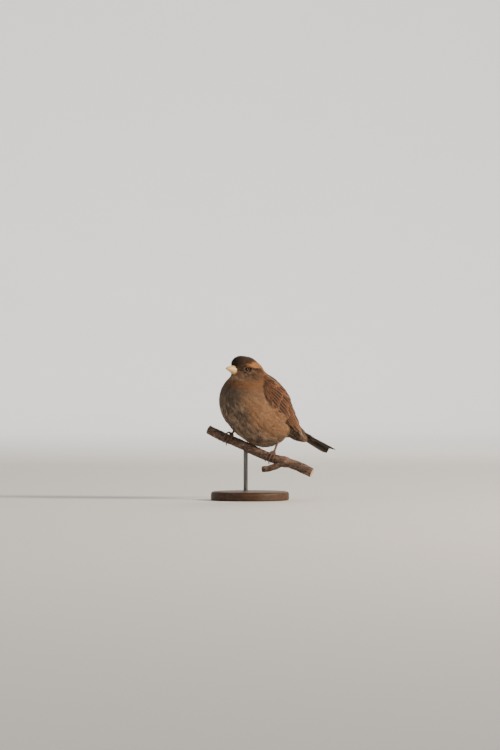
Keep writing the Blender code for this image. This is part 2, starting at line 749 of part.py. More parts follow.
rod_top, _, _ = twig_middle(ROD_X)
rod_foot = STAND_HEIGHT + GAP
rod = turned("rod", ((0, rod_foot), (ROD_RADIUS, rod_foot), (ROD_RADIUS, rod_top.z), (0, rod_top.z)), 16)
rod.transform(Matrix.Translation((ROD_X, rod_top.y, 0.0)))
rod = largest_body(combined(rod, "DIFFERENCE", twig_stem(GAP)))
finish("stand_rod", rod, STEEL)
base = turned("base", (
    (0, 0), (STAND_RADIUS - 1, 0), (STAND_RADIUS, 1), (STAND_RADIUS, STAND_HEIGHT - 2.5),
    (STAND_RADIUS - 2.5, STAND_HEIGHT), (0, STAND_HEIGHT),
))
finish("stand_base", base, WALNUT)
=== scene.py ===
"""A house sparrow hen, fluffed up on a cut twig: the finish of every surface of the museum model."""
import math

import bmesh
import bpy
import numpy as np
from mathutils import Matrix, Vector, noise
from mathutils.bvhtree import BVHTree
from mathutils.kdtree import KDTree


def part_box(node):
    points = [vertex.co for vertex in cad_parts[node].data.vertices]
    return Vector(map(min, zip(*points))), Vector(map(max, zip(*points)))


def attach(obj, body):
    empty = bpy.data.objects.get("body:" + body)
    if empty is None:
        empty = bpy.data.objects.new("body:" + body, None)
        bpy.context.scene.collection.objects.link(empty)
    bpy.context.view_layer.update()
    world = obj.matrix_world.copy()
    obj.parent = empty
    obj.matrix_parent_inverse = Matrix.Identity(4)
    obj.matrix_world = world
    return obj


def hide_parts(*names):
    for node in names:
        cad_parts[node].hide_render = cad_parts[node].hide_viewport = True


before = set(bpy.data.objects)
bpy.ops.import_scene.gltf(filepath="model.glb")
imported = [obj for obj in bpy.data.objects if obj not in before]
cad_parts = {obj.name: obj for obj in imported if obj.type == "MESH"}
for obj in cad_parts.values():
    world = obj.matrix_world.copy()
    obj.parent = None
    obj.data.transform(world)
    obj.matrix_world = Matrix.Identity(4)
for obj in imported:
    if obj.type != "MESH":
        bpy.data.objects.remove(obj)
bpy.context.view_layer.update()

mm = 0.001

# ---- floor, light and camera -----------------------------------------------------------------------------
# A seamless pale sweep: a level floor that curves up into a wall all round, so no edge shows from any
# side. A warm key stands to the right, a weak cool fill to the left, one light behind the bird, and a wide
# one lights the wall.
FLOOR_REACH, FLOOR_DEPTH = 3.5, 0.1 * mm  # how far the floor is level, and how far under the stand
SWEEP_RADIUS, SWEEP_ANGLE = 4.5, 80


class Socket:
    """Wraps a node's output, so that maths on it adds the nodes for it."""

    def __init__(self, paint, output):
        self.paint = paint
        self.output = output

    def _maths(self, operation, *values):
        return self.paint.node("ShaderNodeMath", {"operation": operation}, dict(enumerate(values)))

    def __add__(self, other):
        return self._maths("ADD", self, other)

    def __radd__(self, other):
        return self._maths("ADD", other, self)

    def __sub__(self, other):
        return self._maths("SUBTRACT", self, other)

    def __rsub__(self, other):
        return self._maths("SUBTRACT", other, self)

    def __mul__(self, other):
        return self._maths("MULTIPLY", self, other)

    def __rmul__(self, other):
        return self._maths("MULTIPLY", other, self)

    def above(self, low, high):
        """0 below low, 1 above high, and smooth between them."""
        settings = {"interpolation_type": "SMOOTHSTEP"}
        sockets = {"Value": self, "From Min": low, "From Max": high}
        return self.paint.node("ShaderNodeMapRange", settings, sockets, "Result")


class Paint:
    """One Principled material and the nodes that drive it."""

    def __init__(self, name, **constants):
        self.material = bpy.data.materials.new(name)
        self.material.use_nodes = True
        self.tree = self.material.node_tree
        self.shader = self.tree.nodes["Principled BSDF"]
        for socket, value in constants.items():
            self.shader.inputs[socket.replace("_", " ")].default_value = value

    def node(self, kind, settings=None, sockets=None, output=0):
        """Adds a node: its settings first, then the values or links of its sockets."""
        made = self.tree.nodes.new(kind)
        for key, value in (settings or {}).items():
            if key == "stops":
                ramp = made.color_ramp
                while len(ramp.elements) < len(value):
                    ramp.elements.new(1.0)
                for element, (place, colour) in zip(ramp.elements, value):
                    element.position = place
                    element.color = (*colour, 1.0)
            else:
                setattr(made, key, value)
        for key, value in (sockets or {}).items():
            self.feed(made.inputs[key], value)
        return Socket(self, made.outputs[output])

    def feed(self, socket, value):
        if isinstance(value, Socket):
            self.tree.links.new(value.output, socket)
        elif isinstance(value, tuple) and len(value) == 3 and socket.type == "RGBA":
            socket.default_value = (*value, 1.0)
        else:
            socket.default_value = value

    def place(self, scale=(1.0, 1.0, 1.0), turn=(0.0, 0.0, 0.0)):
        """Object coordinates, scaled and turned."""
        spot = self.node("ShaderNodeTexCoord", output="Object")
        return self.node("ShaderNodeMapping", None, {"Vector": spot, "Scale": scale, "Rotation": turn})

    def noise(self, place, scale, detail=3.0, roughness=0.55):
        sockets = {"Vector": place, "Scale": scale, "Detail": detail, "Roughness": roughness}
        return self.node("ShaderNodeTexNoise", None, sockets, "Fac")

    def attribute(self, name, output="Color"):
        return self.node("ShaderNodeAttribute", {"attribute_name": name}, None, output)

    def blend(self, factor, first, second, blend_type="MIX"):
        settings = {"data_type": "RGBA", "blend_type": blend_type}
        return self.node("ShaderNodeMix", settings, {0: factor, 6: first, 7: second}, 2)

    def ramp(self, factor, *stops):
        return self.node("ShaderNodeValToRGB", {"stops": stops}, {"Fac": factor}, "Color")

    def drive(self, **links):
        for socket, value in links.items():
            self.feed(self.shader.inputs[socket.replace("_", " ")], value)

    def bump(self, height, distance, strength=1.0):
        sockets = {"Height": height, "Distance": distance, "Strength": strength}
        self.feed(self.shader.inputs["Normal"], self.node("ShaderNodeBump", None, sockets, "Normal"))


def add_piece(name, mesh, paint):
    """Links a mesh as a smooth scene object at the origin."""
    piece = bpy.data.objects.new(name, mesh)
    mesh.name = name
    bpy.context.scene.collection.objects.link(piece)
    mesh.materials.clear()
    mesh.materials.append(paint.material)
    mesh.shade_smooth()
    return piece


def turned(profile, steps, name):
    """A mesh turned about the Z axis from (radius, height) points by a full spin."""
    bm = bmesh.new()
    points = [bm.verts.new((radius, 0.0, height)) for radius, height in profile]
    edges = [bm.edges.new(pair) for pair in zip(points, points[1:])]
    bmesh.ops.spin(bm, geom=points + edges, axis=(0, 0, 1), angle=math.tau, steps=steps, use_merge=True)
    bmesh.ops.remove_doubles(bm, verts=bm.verts, dist=1e-7)
    bmesh.ops.recalc_face_normals(bm, faces=bm.faces)
    mesh = bpy.data.meshes.new(name)
    bm.to_mesh(mesh)
    bm.free()
    return mesh


sweep = [(FLOOR_REACH * share, -FLOOR_DEPTH) for share in (0.0, 0.5, 1.0)]
for k in range(1, 15):
    a = math.radians(SWEEP_ANGLE * k / 14)
    sweep.append((FLOOR_REACH + SWEEP_RADIUS * math.sin(a), SWEEP_RADIUS * (1 - math.cos(a))))
pale = Paint("pale_sweep", Roughness=0.9)
mottle = pale.noise(pale.place(), 3.0)
pale.drive(Base_Color=pale.blend(mottle, (0.72, 0.705, 0.68), (0.76, 0.745, 0.72)))
floor = add_piece("studio_sweep", turned(sweep, 96, "studio_sweep"), pale)

world = bpy.data.worlds.new("studio")
bpy.context.scene.world = world
world.use_nodes = True
world.node_tree.nodes["Background"].inputs["Color"].default_value = (0.93, 0.96, 1.0, 1.0)
world.node_tree.nodes["Background"].inputs["Strength"].default_value = 0.40


def add_light(name, at, aim, size, power, colour):
    lamp = bpy.data.lights.new(name, "AREA")
    lamp.shape = "DISK"
    lamp.size = size
    lamp.energy = power
    lamp.color = colour
    holder = bpy.data.objects.new(name, lamp)
    holder.location = at
    holder.rotation_euler = (Vector(aim) - Vector(at)).to_track_quat("-Z", "Y").to_euler()
    bpy.context.scene.collection.objects.link(holder)


middle = (0.0, 0.0, 0.08)
add_light("key", (1.95, -0.8, 1.0), middle, 0.5, 84.0, (1.0, 0.84, 0.66))
add_light("fill", (-1.7, -1.5, 1.2), middle, 1.4, 6.0, (0.92, 0.95, 1.0))
add_light("back", (0.6, 1.9, 1.5), middle, 1.2, 22.0, (1.0, 0.90, 0.78))
add_light("backdrop", (0.0, 3.0, 3.4), (0.0, 7.0, 1.2), 3.0, 260.0, (1.0, 0.98, 0.95))

CAMERA_AT = (0.0, -3.0, 0.115)
VIEW_HEIGHT = 0.690  # what the frame takes in, at the bird
camera = bpy.data.cameras.new("camera")
camera.sensor_width = 36.0
camera.lens = camera.sensor_width * abs(CAMERA_AT[1]) / VIEW_HEIGHT
viewer = bpy.data.objects.new("camera", camera)
viewer.location = CAMERA_AT
viewer.rotation_euler = (math.radians(90), 0.0, 0.0)
bpy.context.scene.collection.objects.link(viewer)
bpy.context.scene.camera = viewer

# ---- display stand ---------------------------------------------------------------------------------------
# A turned disc of dark oiled walnut with a softly rounded rim, and one short rod of blackened steel that
# is let into it and saddled to the twig.
low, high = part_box("stand_base")
base_radius, base_height = high.x, high.z
rim, foot = 2.6 * mm, 0.8 * mm
profile = [(0.0, 0.0), (base_radius - foot, 0.0), (base_radius, foot), (base_radius, base_height - rim)]
for k in range(1, 9):
    a = math.radians(90 * k / 8)
    profile.append((base_radius - rim * (1 - math.cos(a)), base_height - rim * (1 - math.sin(a))))
profile.append((0.0, base_height))
walnut = Paint("oiled_walnut", Specular_IOR_Level=0.3)
grain_place = walnut.place(scale=(22.0, 190.0, 190.0), turn=(0.0, 0.0, 0.3))
grain = walnut.noise(grain_place, 2.6, 6.0, 0.6)
pores = walnut.noise(walnut.place(scale=(60.0, 1500.0, 1500.0), turn=(0.0, 0.0, 0.3)), 1.0, 2.0)
wood = walnut.ramp(grain, (0.25, (0.028, 0.013, 0.007)), (0.55, (0.075, 0.036, 0.018)), (0.8, (0.13, 0.065, 0.032)))
walnut.drive(Base_Color=walnut.blend(pores.above(0.55, 0.75) * 0.6, wood, (0.015, 0.008, 0.005)))
walnut.drive(Roughness=0.46 + 0.2 * grain)
walnut.bump(grain + pores * 0.6, 0.00012, 0.6)
base = add_piece("display_base", turned(profile, 128, "display_base"), walnut)
base.data.set_sharp_from_angle(angle=math.radians(40))
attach(base, "root")
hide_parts("stand_base")


def cad_copy(*nodes):
    """A merged bmesh of copies of CAD nodes."""
    bm = bmesh.new()
    for name in nodes:
        bm.from_mesh(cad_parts[name].data)
    bmesh.ops.remove_doubles(bm, verts=bm.verts, dist=1e-6)
    return bm


def to_mesh(bm, name):
    mesh = bpy.data.meshes.new(name)
    bm.to_mesh(mesh)
    bm.free()
    return mesh


def evaluated(mesh, *modifiers):
    """The mesh after these modifiers, each a (type, settings) pair."""
    holder = bpy.data.objects.new("holder", mesh)
    bpy.context.scene.collection.objects.link(holder)
    for kind, settings in modifiers:
        modifier = holder.modifiers.new(kind.lower(), kind)
        for key, value in settings.items():
            setattr(modifier, key, value)
    bpy.context.view_layer.update()
    graph = bpy.context.evaluated_depsgraph_get()
    made = bpy.data.meshes.new_from_object(holder.evaluated_get(graph))
    bpy.data.objects.remove(holder)
    return made


def remeshed(mesh, voxel, smoothing, grow=0.0):
    """The mesh grown a little, made one even skin of voxels, and smoothed."""
    steps = [
        ("DISPLACE", {"strength": grow, "mid_level": 0.0}),
        ("REMESH", {"mode": "VOXEL", "voxel_size": voxel}),
        ("SMOOTH", {"factor": 0.5, "iterations": smoothing}),
    ]
    return evaluated(mesh, *(steps if grow else steps[1:]))


def unit(ways):
    """Directions made one long."""
    return ways / np.maximum(np.linalg.norm(ways, axis=-1, keepdims=True), 1e-12)


def coordinates(mesh):
    points = np.empty(len(mesh.vertices) * 3)
    mesh.vertices.foreach_get("co", points)
    return points.reshape(-1, 3)


def normals(mesh):
    found = np.empty(len(mesh.vertices) * 3)
    mesh.vertices.foreach_get("normal", found)
    return found.reshape(-1, 3)


steel = Paint("blackened_steel", Metallic=1.0)
rubbed = steel.noise(steel.place(scale=(900.0, 900.0, 60.0)), 1.0, 4.0)
steel.drive(Base_Color=steel.blend(rubbed, (0.10, 0.10, 0.105), (0.24, 0.235, 0.23)))
steel.drive(Roughness=0.28 + 0.2 * rubbed)
steel.bump(rubbed, 0.00005, 0.3)
bm = cad_copy("stand_rod")
bmesh.ops.dissolve_limit(bm, angle_limit=math.radians(4), verts=bm.verts, edges=bm.edges)
rod = add_piece("display_rod", to_mesh(bm, "display_rod"), steel)
rod.data.set_sharp_from_angle(angle=math.radians(40))
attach(rod, "root")
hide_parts("stand_rod")

# ---- the twig --------------------------------------------------------------------------------------------
# A cut length of shrub branch with the stub of a side shoot: thin grey-brown bark, pinkish where it is
# rubbed, with leaf scars, lenticels and fine cracks along it, and pale wood at the sawn ends.
TWIG_LINE = np.array((
    (-38.6, 64.9), (-25.0, 58.0), (-10.4, 52.2), (3.0, 45.9), (16.6, 40.0), (30.1, 35.9), (43.6, 31.6), (57.0, 25.2),
))  # its middle, as (x, z)
TWIG_YAW = -0.27  # how far y goes with x
TWIG_VOXEL = 0.42 * mm
SWELL, CRACK, RING, WART = 0.22, 0.22, 0.08, 0.9  # heights of the bark's relief, in millimetres
END_REACH = 4 * mm  # the sawn ends lie within this of the line's ends
STUB_X, STUB_DROP = 12.5 * mm, 6 * mm  # the side shoot's end is before this x, and this far under the line
line_x, line_z = TWIG_LINE.T * mm


def twig_frame(x):
    """(middles, directions, near sides, ups) of the twig at each X."""
    x = np.asarray(x)
    step = 2 * mm
    ahead = np.interp(x + step, line_x, line_z) - np.interp(x - step, line_x, line_z)
    middles = np.stack([x, TWIG_YAW * x, np.interp(x, line_x, line_z)], axis=-1)
    run = unit(np.stack([np.full_like(x, 2 * step), np.full_like(x, 2 * step * TWIG_YAW), ahead], axis=-1))
    near = unit(np.cross(run, (0.0, 0.0, 1.0)))
    return middles, run, near, np.cross(near, run)


def number_points(mesh, name, values):
    """Gives each vertex its own number."""
    layer = mesh.attributes.new(name, "FLOAT", "POINT")
    layer.data.foreach_set("value", np.asarray(values, np.float32))


twig = remeshed(to_mesh(cad_copy("perch"), "twig"), TWIG_VOXEL, 7)
points, outward = coordinates(twig), normals(twig)
middles, run, near, up = twig_frame(points[:, 0])
off = points - middles
around = np.arctan2((off * near).sum(-1), (off * up).sum(-1))
facing_end = np.abs((outward * run).sum(-1))
lift = np.empty(len(points))
for i, (x, a) in enumerate(zip(points[:, 0] / mm, around)):
    spot = Vector((x * 0.35, math.cos(a) * 2.2, math.sin(a) * 2.2))
    cracks = noise.noise(Vector((x * 0.16, math.cos(a) * 5.5, math.sin(a) * 5.5)) + Vector((7, 0, 0)))
    rings = noise.noise(Vector((x * 1.6, math.cos(a) * 0.9, math.sin(a) * 0.9)))
    warts = max(noise.noise(Vector((x * 0.9, math.cos(a) * 3.4, math.sin(a) * 3.4)) * 1.1) - 0.32, 0.0)
    lift[i] = SWELL * noise.noise(spot) - CRACK * abs(cracks) + RING * rings + WART * warts
lift = (lift + 0.16) * np.clip(1.4 - facing_end * 1.6, 0.0, 1.0)
points += outward * (lift * mm)[:, None]
twig.vertices.foreach_set("co", points.ravel())
ends = (facing_end > 0.8) & ((points[:, 0] < line_x[0] + END_REACH) | (points[:, 0] > line_x[-1] - END_REACH))
stub_end = (facing_end > 0.55) & (points[:, 0] < STUB_X) & (off[:, 2] < -STUB_DROP)
number_points(twig, "cut", ends | stub_end)
bark = Paint("shrub_bark")
along = bark.place(scale=(120.0, 700.0, 700.0), turn=(0.0, math.radians(-24), math.radians(15)))
streaks = bark.noise(along, 1.0, 5.0, 0.6)
blotches = bark.noise(bark.place(scale=(90.0, 90.0, 90.0)), 1.0, 4.0)
specks = bark.noise(bark.place(scale=(520.0, 520.0, 520.0)), 1.0, 3.0)
lichen = bark.noise(bark.place(scale=(230.0, 230.0, 230.0)), 1.0)
tone = bark.ramp(streaks, (0.30, (0.030, 0.019, 0.013)), (0.5, (0.105, 0.062, 0.040)), (0.74, (0.30, 0.185, 0.120)))
tone = bark.blend(blotches.above(0.48, 0.66) * 0.6, tone, (0.27, 0.150, 0.100))
tone = bark.blend(specks.above(0.57, 0.64) * 0.85, tone, (0.024, 0.014, 0.010))
tone = bark.blend(lichen.above(0.64, 0.72) * 0.5, tone, (0.32, 0.32, 0.25))
wood = bark.blend(specks, (0.42, 0.31, 0.19), (0.56, 0.43, 0.28))
bark.drive(Base_Color=bark.blend(bark.attribute("cut", "Fac"), tone, wood))
bark.drive(Roughness=0.72 + 0.2 * streaks)
bark.bump(streaks + specks * 0.7 + blotches * 0.4, 0.0004, 0.8)
perch = add_piece("twig", twig, bark)
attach(perch, "root")
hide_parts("perch")

# ---- the skin --------------------------------------------------------------------------------------------
# The sparrow's own skin, drawn over a carved body: head, neck, trunk, rump and thighs in one, going over
# without a seam into the horny, scaled skin of legs and toes. It lies as deep as the coat is thick.
BODY = Matrix.Translation((5.5 * mm, 0.0, 87.7 * mm)) @ Matrix.Rotation(math.radians(210), 4, "Z")
HEAD = Matrix.Translation((-6.2 * mm, -6.2 * mm, 119.4 * mm)) @ Matrix.Rotation(math.radians(220), 4, "Z")
HEAD = HEAD @ Matrix.Rotation(math.radians(-7), 4, "Y")  # x runs forwards, y to the bird's left, z up
TAIL = BODY @ Matrix.Translation((-31.0 * mm, 0.0, -19.0 * mm)) @ Matrix.Rotation(math.radians(180), 4, "Z")
TAIL = TAIL @ Matrix.Rotation(math.radians(26.5), 4, "Y")  # x runs to its tip
TAIL = TAIL @ Matrix.Rotation(math.radians(-15), 4, "X")
BILL_ROOT = np.array((9.3, 0.0, -1.6))  # in the head's frame, in millimetres
EYE = np.array((3.0, 7.1, 0.2))  # the left one, in the same frame
SIDES = {"left": 1, "right": -1}
FLESH = ("head", "neck", "trunk", "rump", "thigh_left", "thigh_right")
LEGS = ("leg_left", "leg_right")
BALLS = ("eye_left", "eye_right")  # the skin is whole behind the eyes
WINGS = [f"wing_{side}_{group}" for side in SIDES for group in ("coverts", "secondaries")]
SKIN_VOXEL, FORM_VOXEL = 0.54 * mm, 0.8 * mm
JOIN = 0.3 * mm  # how far the parts are grown so that they join
COAT_DEPTH, HEAD_DEPTH = 2.5, 1.1  # how deep the skin lies, in millimetres


def local(place, points):
    """Points in a frame, in millimetres."""
    turn = np.array(place.inverted().to_3x3())
    at = np.array(place.translation)
    return (np.asarray(points) - at) @ turn.T / mm


def world_way(place, ways):
    return np.asarray(ways) @ np.array(place.to_3x3()).T


def smooth_step(low, high, value):
    t = np.clip((np.asarray(value) - low) / (high - low), 0.0, 1.0)
    return t * t * (3 - 2 * t)


def tree_of(mesh):
    mesh.calc_loop_triangles()
    return BVHTree.FromPolygons([v.co for v in mesh.vertices], [t.vertices[:] for t in mesh.loop_triangles])


def nearest(tree, points):
    """(places, normals, distances) on a surface nearest to some points."""
    found = [tree.find_nearest(point) for point in points]
    places = np.array([hit[0][:] for hit in found])
    ways = np.array([hit[1][:] for hit in found])
    return places, ways, np.array([hit[3] for hit in found])


def gap_to(tree, points):
    """How far places are from a surface, in millimetres."""
    return nearest(tree, points)[2] / mm


leg_tree = tree_of(to_mesh(cad_copy(*LEGS), "legs"))
tail_tree = tree_of(to_mesh(cad_copy("tail"), "tail"))
wing_tree = tree_of(to_mesh(cad_copy(*WINGS), "wings"))
bill_tree = tree_of(to_mesh(cad_copy("bill_upper", "bill_lower"), "bill"))
skin = remeshed(to_mesh(cad_copy(*FLESH, *LEGS, *BALLS), "skin"), SKIN_VOXEL, 4, JOIN)
points, outward = coordinates(skin), normals(skin)
in_head = local(HEAD, points)
from_head, from_bill = np.linalg.norm(in_head, axis=1), np.linalg.norm(in_head - BILL_ROOT, axis=1)
depth = COAT_DEPTH + (HEAD_DEPTH - COAT_DEPTH) * smooth_step(21, 12, from_head)
depth *= 0.3 + 0.7 * smooth_step(3, 11, from_bill)
depth *= smooth_step(0.2, 3.2, gap_to(leg_tree, points)) * smooth_step(0.8, 5.5, gap_to(tail_tree, points))
points -= outward * (depth * mm + JOIN)[:, None]
on_bill, _, bill_gap = nearest(bill_tree, points)  # the skin closes up to the horn
held = smooth_step(1.5, 0.7, bill_gap / mm) * np.clip(1 - 0.02 * mm / np.maximum(bill_gap, 1e-6), 0, 1)
points += (on_bill - points) * held[:, None]
skin.vertices.foreach_set("co", points.ravel())
skin = evaluated(skin, ("SMOOTH", {"factor": 0.4, "iterations": 3}))


def joined_form(name, smoothing, *nodes):
    """Nodes grown until they join, smoothed, and brought back to their own size."""
    mesh = remeshed(to_mesh(cad_copy(*nodes), name), FORM_VOXEL, smoothing, JOIN)
    mesh.vertices.foreach_set("co", (coordinates(mesh) - normals(mesh) * JOIN).ravel())
    return mesh


form_tree = tree_of(joined_form("form", 5, *FLESH, *BALLS))
coat_form = joined_form("coat_form", 9, *FLESH, *BALLS, *WINGS, "tail")
coat_tree = tree_of(coat_form)

# colours of the plumage, darkest first
SOOT = np.array((0.014, 0.009, 0.006))
UMBER = np.array((0.042, 0.022, 0.012))
CROWN = np.array((0.052, 0.028, 0.016))
EARTH = np.array((0.115, 0.058, 0.030))
CHESTNUT = np.array((0.150, 0.055, 0.023))
AURICULAR = np.array((0.105, 0.056, 0.031))
DUSKY = np.array((0.085, 0.058, 0.040))
RUFOUS = np.array((0.225, 0.086, 0.034))
DRAB = np.array((0.180, 0.115, 0.072))
ASHY = np.array((0.175, 0.128, 0.094))
WARM = np.array((0.240, 0.115, 0.052))
BUFF = np.array((0.330, 0.175, 0.085))
GOLDEN = np.array((0.390, 0.165, 0.062))
CREAM = np.array((0.500, 0.355, 0.240))


def mixed(colours, other, share):
    """Colours gone over to others, by a share from 0 to 1 at each place."""
    share = np.atleast_1d(np.clip(share, 0, 1))[..., None]
    return colours * (1 - share) + other * share


def ripple(points, size, seed):
    """Smooth noise over places in millimetres, from about -0.5 to 0.5."""
    shift = Vector((seed * 13.7, seed * 5.1, seed * 9.3))
    return np.array([noise.noise(Vector(point) / size + shift) for point in points])


def band(value, low, high, soft):
    """1 between low and high and 0 outside, with soft edges."""
    return smooth_step(low - soft, low + soft, value) * (1 - smooth_step(high - soft, high + soft, value))


def lock_noise(b):
    """Noise drawn out along the lie of the underparts, from about -0.5 to 0.5: one value for each soft lock."""
    x, y, z = b.T
    return ripple(np.stack((y * 5.5, (0.8 * x - 0.6 * z) * 5.5, 0.6 * x + 0.8 * z), axis=1), 11.0, 3)


def back_share(b):
    """1 over the back and 0 over the underparts, from places in the body's frame."""
    return smooth_step(-3.0, 6.0, b @ (-0.80, 0.0, 0.60) - 10.0 - 0.25 * np.abs(b[:, 1]))


def plumage(points):
    """The coat's own colour at each place on the bird, by places in millimetres of its frames."""
    b, h = local(BODY, points), local(HEAD, points)
    x, y, z = b.T
    hx, hy, hz = h.T
    hx = (hx - 1.7) / 1.15  # the head's marks are drawn out along it
    side = np.abs(hy)
    wave, fleck = ripple(b, 7.0, 1), ripple(b, 2.0, 2)
    locks = lock_noise(b)
    back = back_share(b)
    # underparts: warm at the throat, ashy breast, buff flanks and vent. Low on the belly the locks that stand proud
    # are paler, partly the belly's own pale tone and partly painted highlight, and the sunken ones between them are
    # dusky with painted shade
    low_belly = smooth_step(12, -8, z) * smooth_step(-30, -12, x + 0.2 * z)
    tone = mixed(ASHY, CREAM, 0.80 * low_belly * smooth_step(-0.05, 0.22, locks))
    tone = mixed(tone, DUSKY, 0.60 * (0.4 + 0.6 * low_belly) * smooth_step(0.02, -0.22, locks))
    tone = mixed(tone, DRAB, 0.35 * smooth_step(6, 20, z + 4 * wave))
    tone = mixed(tone, WARM, 0.90 * smooth_step(14, 24, z + 2.5 * wave + 0.35 * np.abs(y)) * (1 - back))
    tone = mixed(tone, BUFF, 0.80 * smooth_step(16, 23, np.abs(y) + 4 * wave) * smooth_step(20, -4, z))
    tone = mixed(tone, BUFF, 0.85 * smooth_step(-14, -25, x + 2 * wave))
    # painted shade under the wing tips and the tail's root: the lowest rear of the underparts darkened towards umber
    tone = mixed(tone, UMBER, 0.80 * smooth_step(-21, -30, x + 1.5 * wave) * smooth_step(-12, -19, z))
    # upperparts: rufous mantle, greyer on the rump
    upper = mixed(EARTH, RUFOUS, 0.65 + 0.8 * wave)
    upper = mixed(upper, DUSKY, 0.9 * smooth_step(-16, -26, x + 2 * wave))
    tone = mixed(tone, upper, back)
    # head: dark crown, broad golden brow, dark line through the eye, brown cheek, pale collar; painted shade darkens
    # the front of the crown and the forehead
    headed = smooth_step(-8.0, -3.5, hz + 0.30 * hx + 0.28 * side) * smooth_step(25, 19, np.linalg.norm(h, axis=1))
    brow_line = 4.2 - 0.17 * (hx - 1.3)
    brow_half = 0.7 + 2.1 * smooth_step(2.0, -9.0, hx)
    crown = smooth_step(brow_line - 0.6, brow_line + 1.4, hz + 1.6 * fleck)
    # the crown goes from dark at the front to earth brown at the nape: partly its own tone, partly painted shade over
    # the front of the head
    nape = mixed(CROWN, EARTH, 0.75 * smooth_step(0, -13, hx + 3 * wave))
    cheek = mixed(AURICULAR, DRAB, 0.3 + 2.0 * fleck)
    face = mixed(cheek, nape, crown)
    brow = band(hz + 0.9 * fleck, brow_line - brow_half, brow_line + brow_half, 0.5)
    brow *= smooth_step(3.4, -0.8, hx) * smooth_step(-15.0, -12.0, hx) * smooth_step(4.2, 6.6, side + 0.10 * hx)
    stripe = band(hz + 0.8 * fleck, 0.2 - 0.05 * hx, 2.3 - 0.09 * hx, 0.4) * smooth_step(0.5, -2.0, hx)
    face = mixed(face, UMBER, 0.92 * stripe * smooth_step(-16.0, -13.0, hx))
    rear = band(hx + 0.10 * hz, -11.9, -8.8, 0.7) * band(hz, -6.0, 2.5, 1.2)
    face = mixed(face, CHESTNUT, 0.75 * rear)
    face = mixed(face, GOLDEN, brow)
    face = mixed(face, CREAM, 0.22 * brow * smooth_step(-9, -12, hx))
    collar = smooth_step(0.4, -1.4, hx + 11.8 + 0.5 * np.minimum(hz + 3, 0) + 0.8 * fleck) * smooth_step(8.5, 4.5, hz)
    face = mixed(face, GOLDEN, 0.90 * collar * smooth_step(2.5, 5.0, side))
    lores = band(hz, -1.6, 3.4, 0.8) * smooth_step(3.4, 4.8, hx)
    face = mixed(face, UMBER, 0.80 * lores)
    # painted shade: the forehead darkened towards soot
    forehead_shade = smooth_step(2.0, 8.0, hx) * smooth_step(3.0, 5.0, hz)
    face = mixed(face, SOOT, 0.45 * forehead_shade)
    tone = mixed(tone, face, headed)
    # chin, the pale patch under the bill, and the chestnut streak behind it
    below = smooth_step(-3.2, -5.0, hz) * smooth_step(-13, -9, hz) * smooth_step(3.0, 6.0, hx)
    tone = mixed(tone, CREAM, 0.60 * below)
    malar = band(hx - 0.15 * (hz + 6), 5.2, 8.2, 0.7) * band(hz, -10.5, -3.5, 1.0) * smooth_step(2.5, 4.5, side)
    tone = mixed(tone, CHESTNUT, 0.65 * malar)
    return tone * (1 + 0.20 * wave + 0.22 * fleck)[:, None]


def paint_points(mesh, name, colours):
    """Gives each vertex its own colour."""
    layer = mesh.attributes.new(name, "FLOAT_COLOR", "POINT")
    values = np.ones((len(colours), 4), np.float32)
    values[:, :3] = np.clip(colours, 0, 1)
    layer.data.foreach_set("color", values.ravel())


points = coordinates(skin)
bare = smooth_step(0.9, 0.35, gap_to(leg_tree, points))
LEG_BROWN = np.array((0.150, 0.080, 0.052))
# painted shade under the coat: the skin takes the coat's colours darkened to 0.55
paint_points(skin, "plumage", mixed(plumage(points) * 0.55, LEG_BROWN, bare))  # darker than the coat over it
number_points(skin, "bare", bare)
skin_paint = Paint("bird_skin")
sockets = {"Vector": skin_paint.place(), "Scale": 1150.0}
scales = skin_paint.node("ShaderNodeTexVoronoi", {"feature": "DISTANCE_TO_EDGE"}, sockets, "Distance")
horny = skin_paint.attribute("bare", "Fac")
crease = scales.above(0.0, 0.12)
tone = skin_paint.attribute("plumage")
skin_paint.drive(Base_Color=skin_paint.blend((1 - crease) * horny * 0.5, tone, (0.05, 0.025, 0.016)))
skin_paint.drive(Roughness=0.85 - 0.42 * horny)
skin_paint.bump(crease * horny, 0.00018, 0.8)
bird_skin = add_piece("skin", skin, skin_paint)
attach(bird_skin, "root")
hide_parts(*FLESH, *LEGS)

# ---- the coat --------------------------------------------------------------------------------------------
# Some thousands of small contour feathers. Each is a vane of barbs on both sides of a shaft, whole near
# the shaft and frayed at the edge, rooted in the skin and lying over the feathers behind it.
rng = np.random.default_rng(20)


def margin_cuts(bm):
    """The inner edges across a vane's grid that end at its margins."""
    return [
        edge for edge in bm.edges
        if abs(edge.verts[0].co.x - edge.verts[1].co.x) < 1e-4
        and max(abs(v.co.y) for v in edge.verts) > 0.9 and len(edge.link_faces) == 2
    ]


def as_template(bm, places):
    """The rows and faces of a template, from a grid and its vertices' places on the vane."""
    bm.verts.index_update()
    faces = [[v.index for v in face.verts] for face in bm.faces]
    bm.free()
    return np.array(places), faces


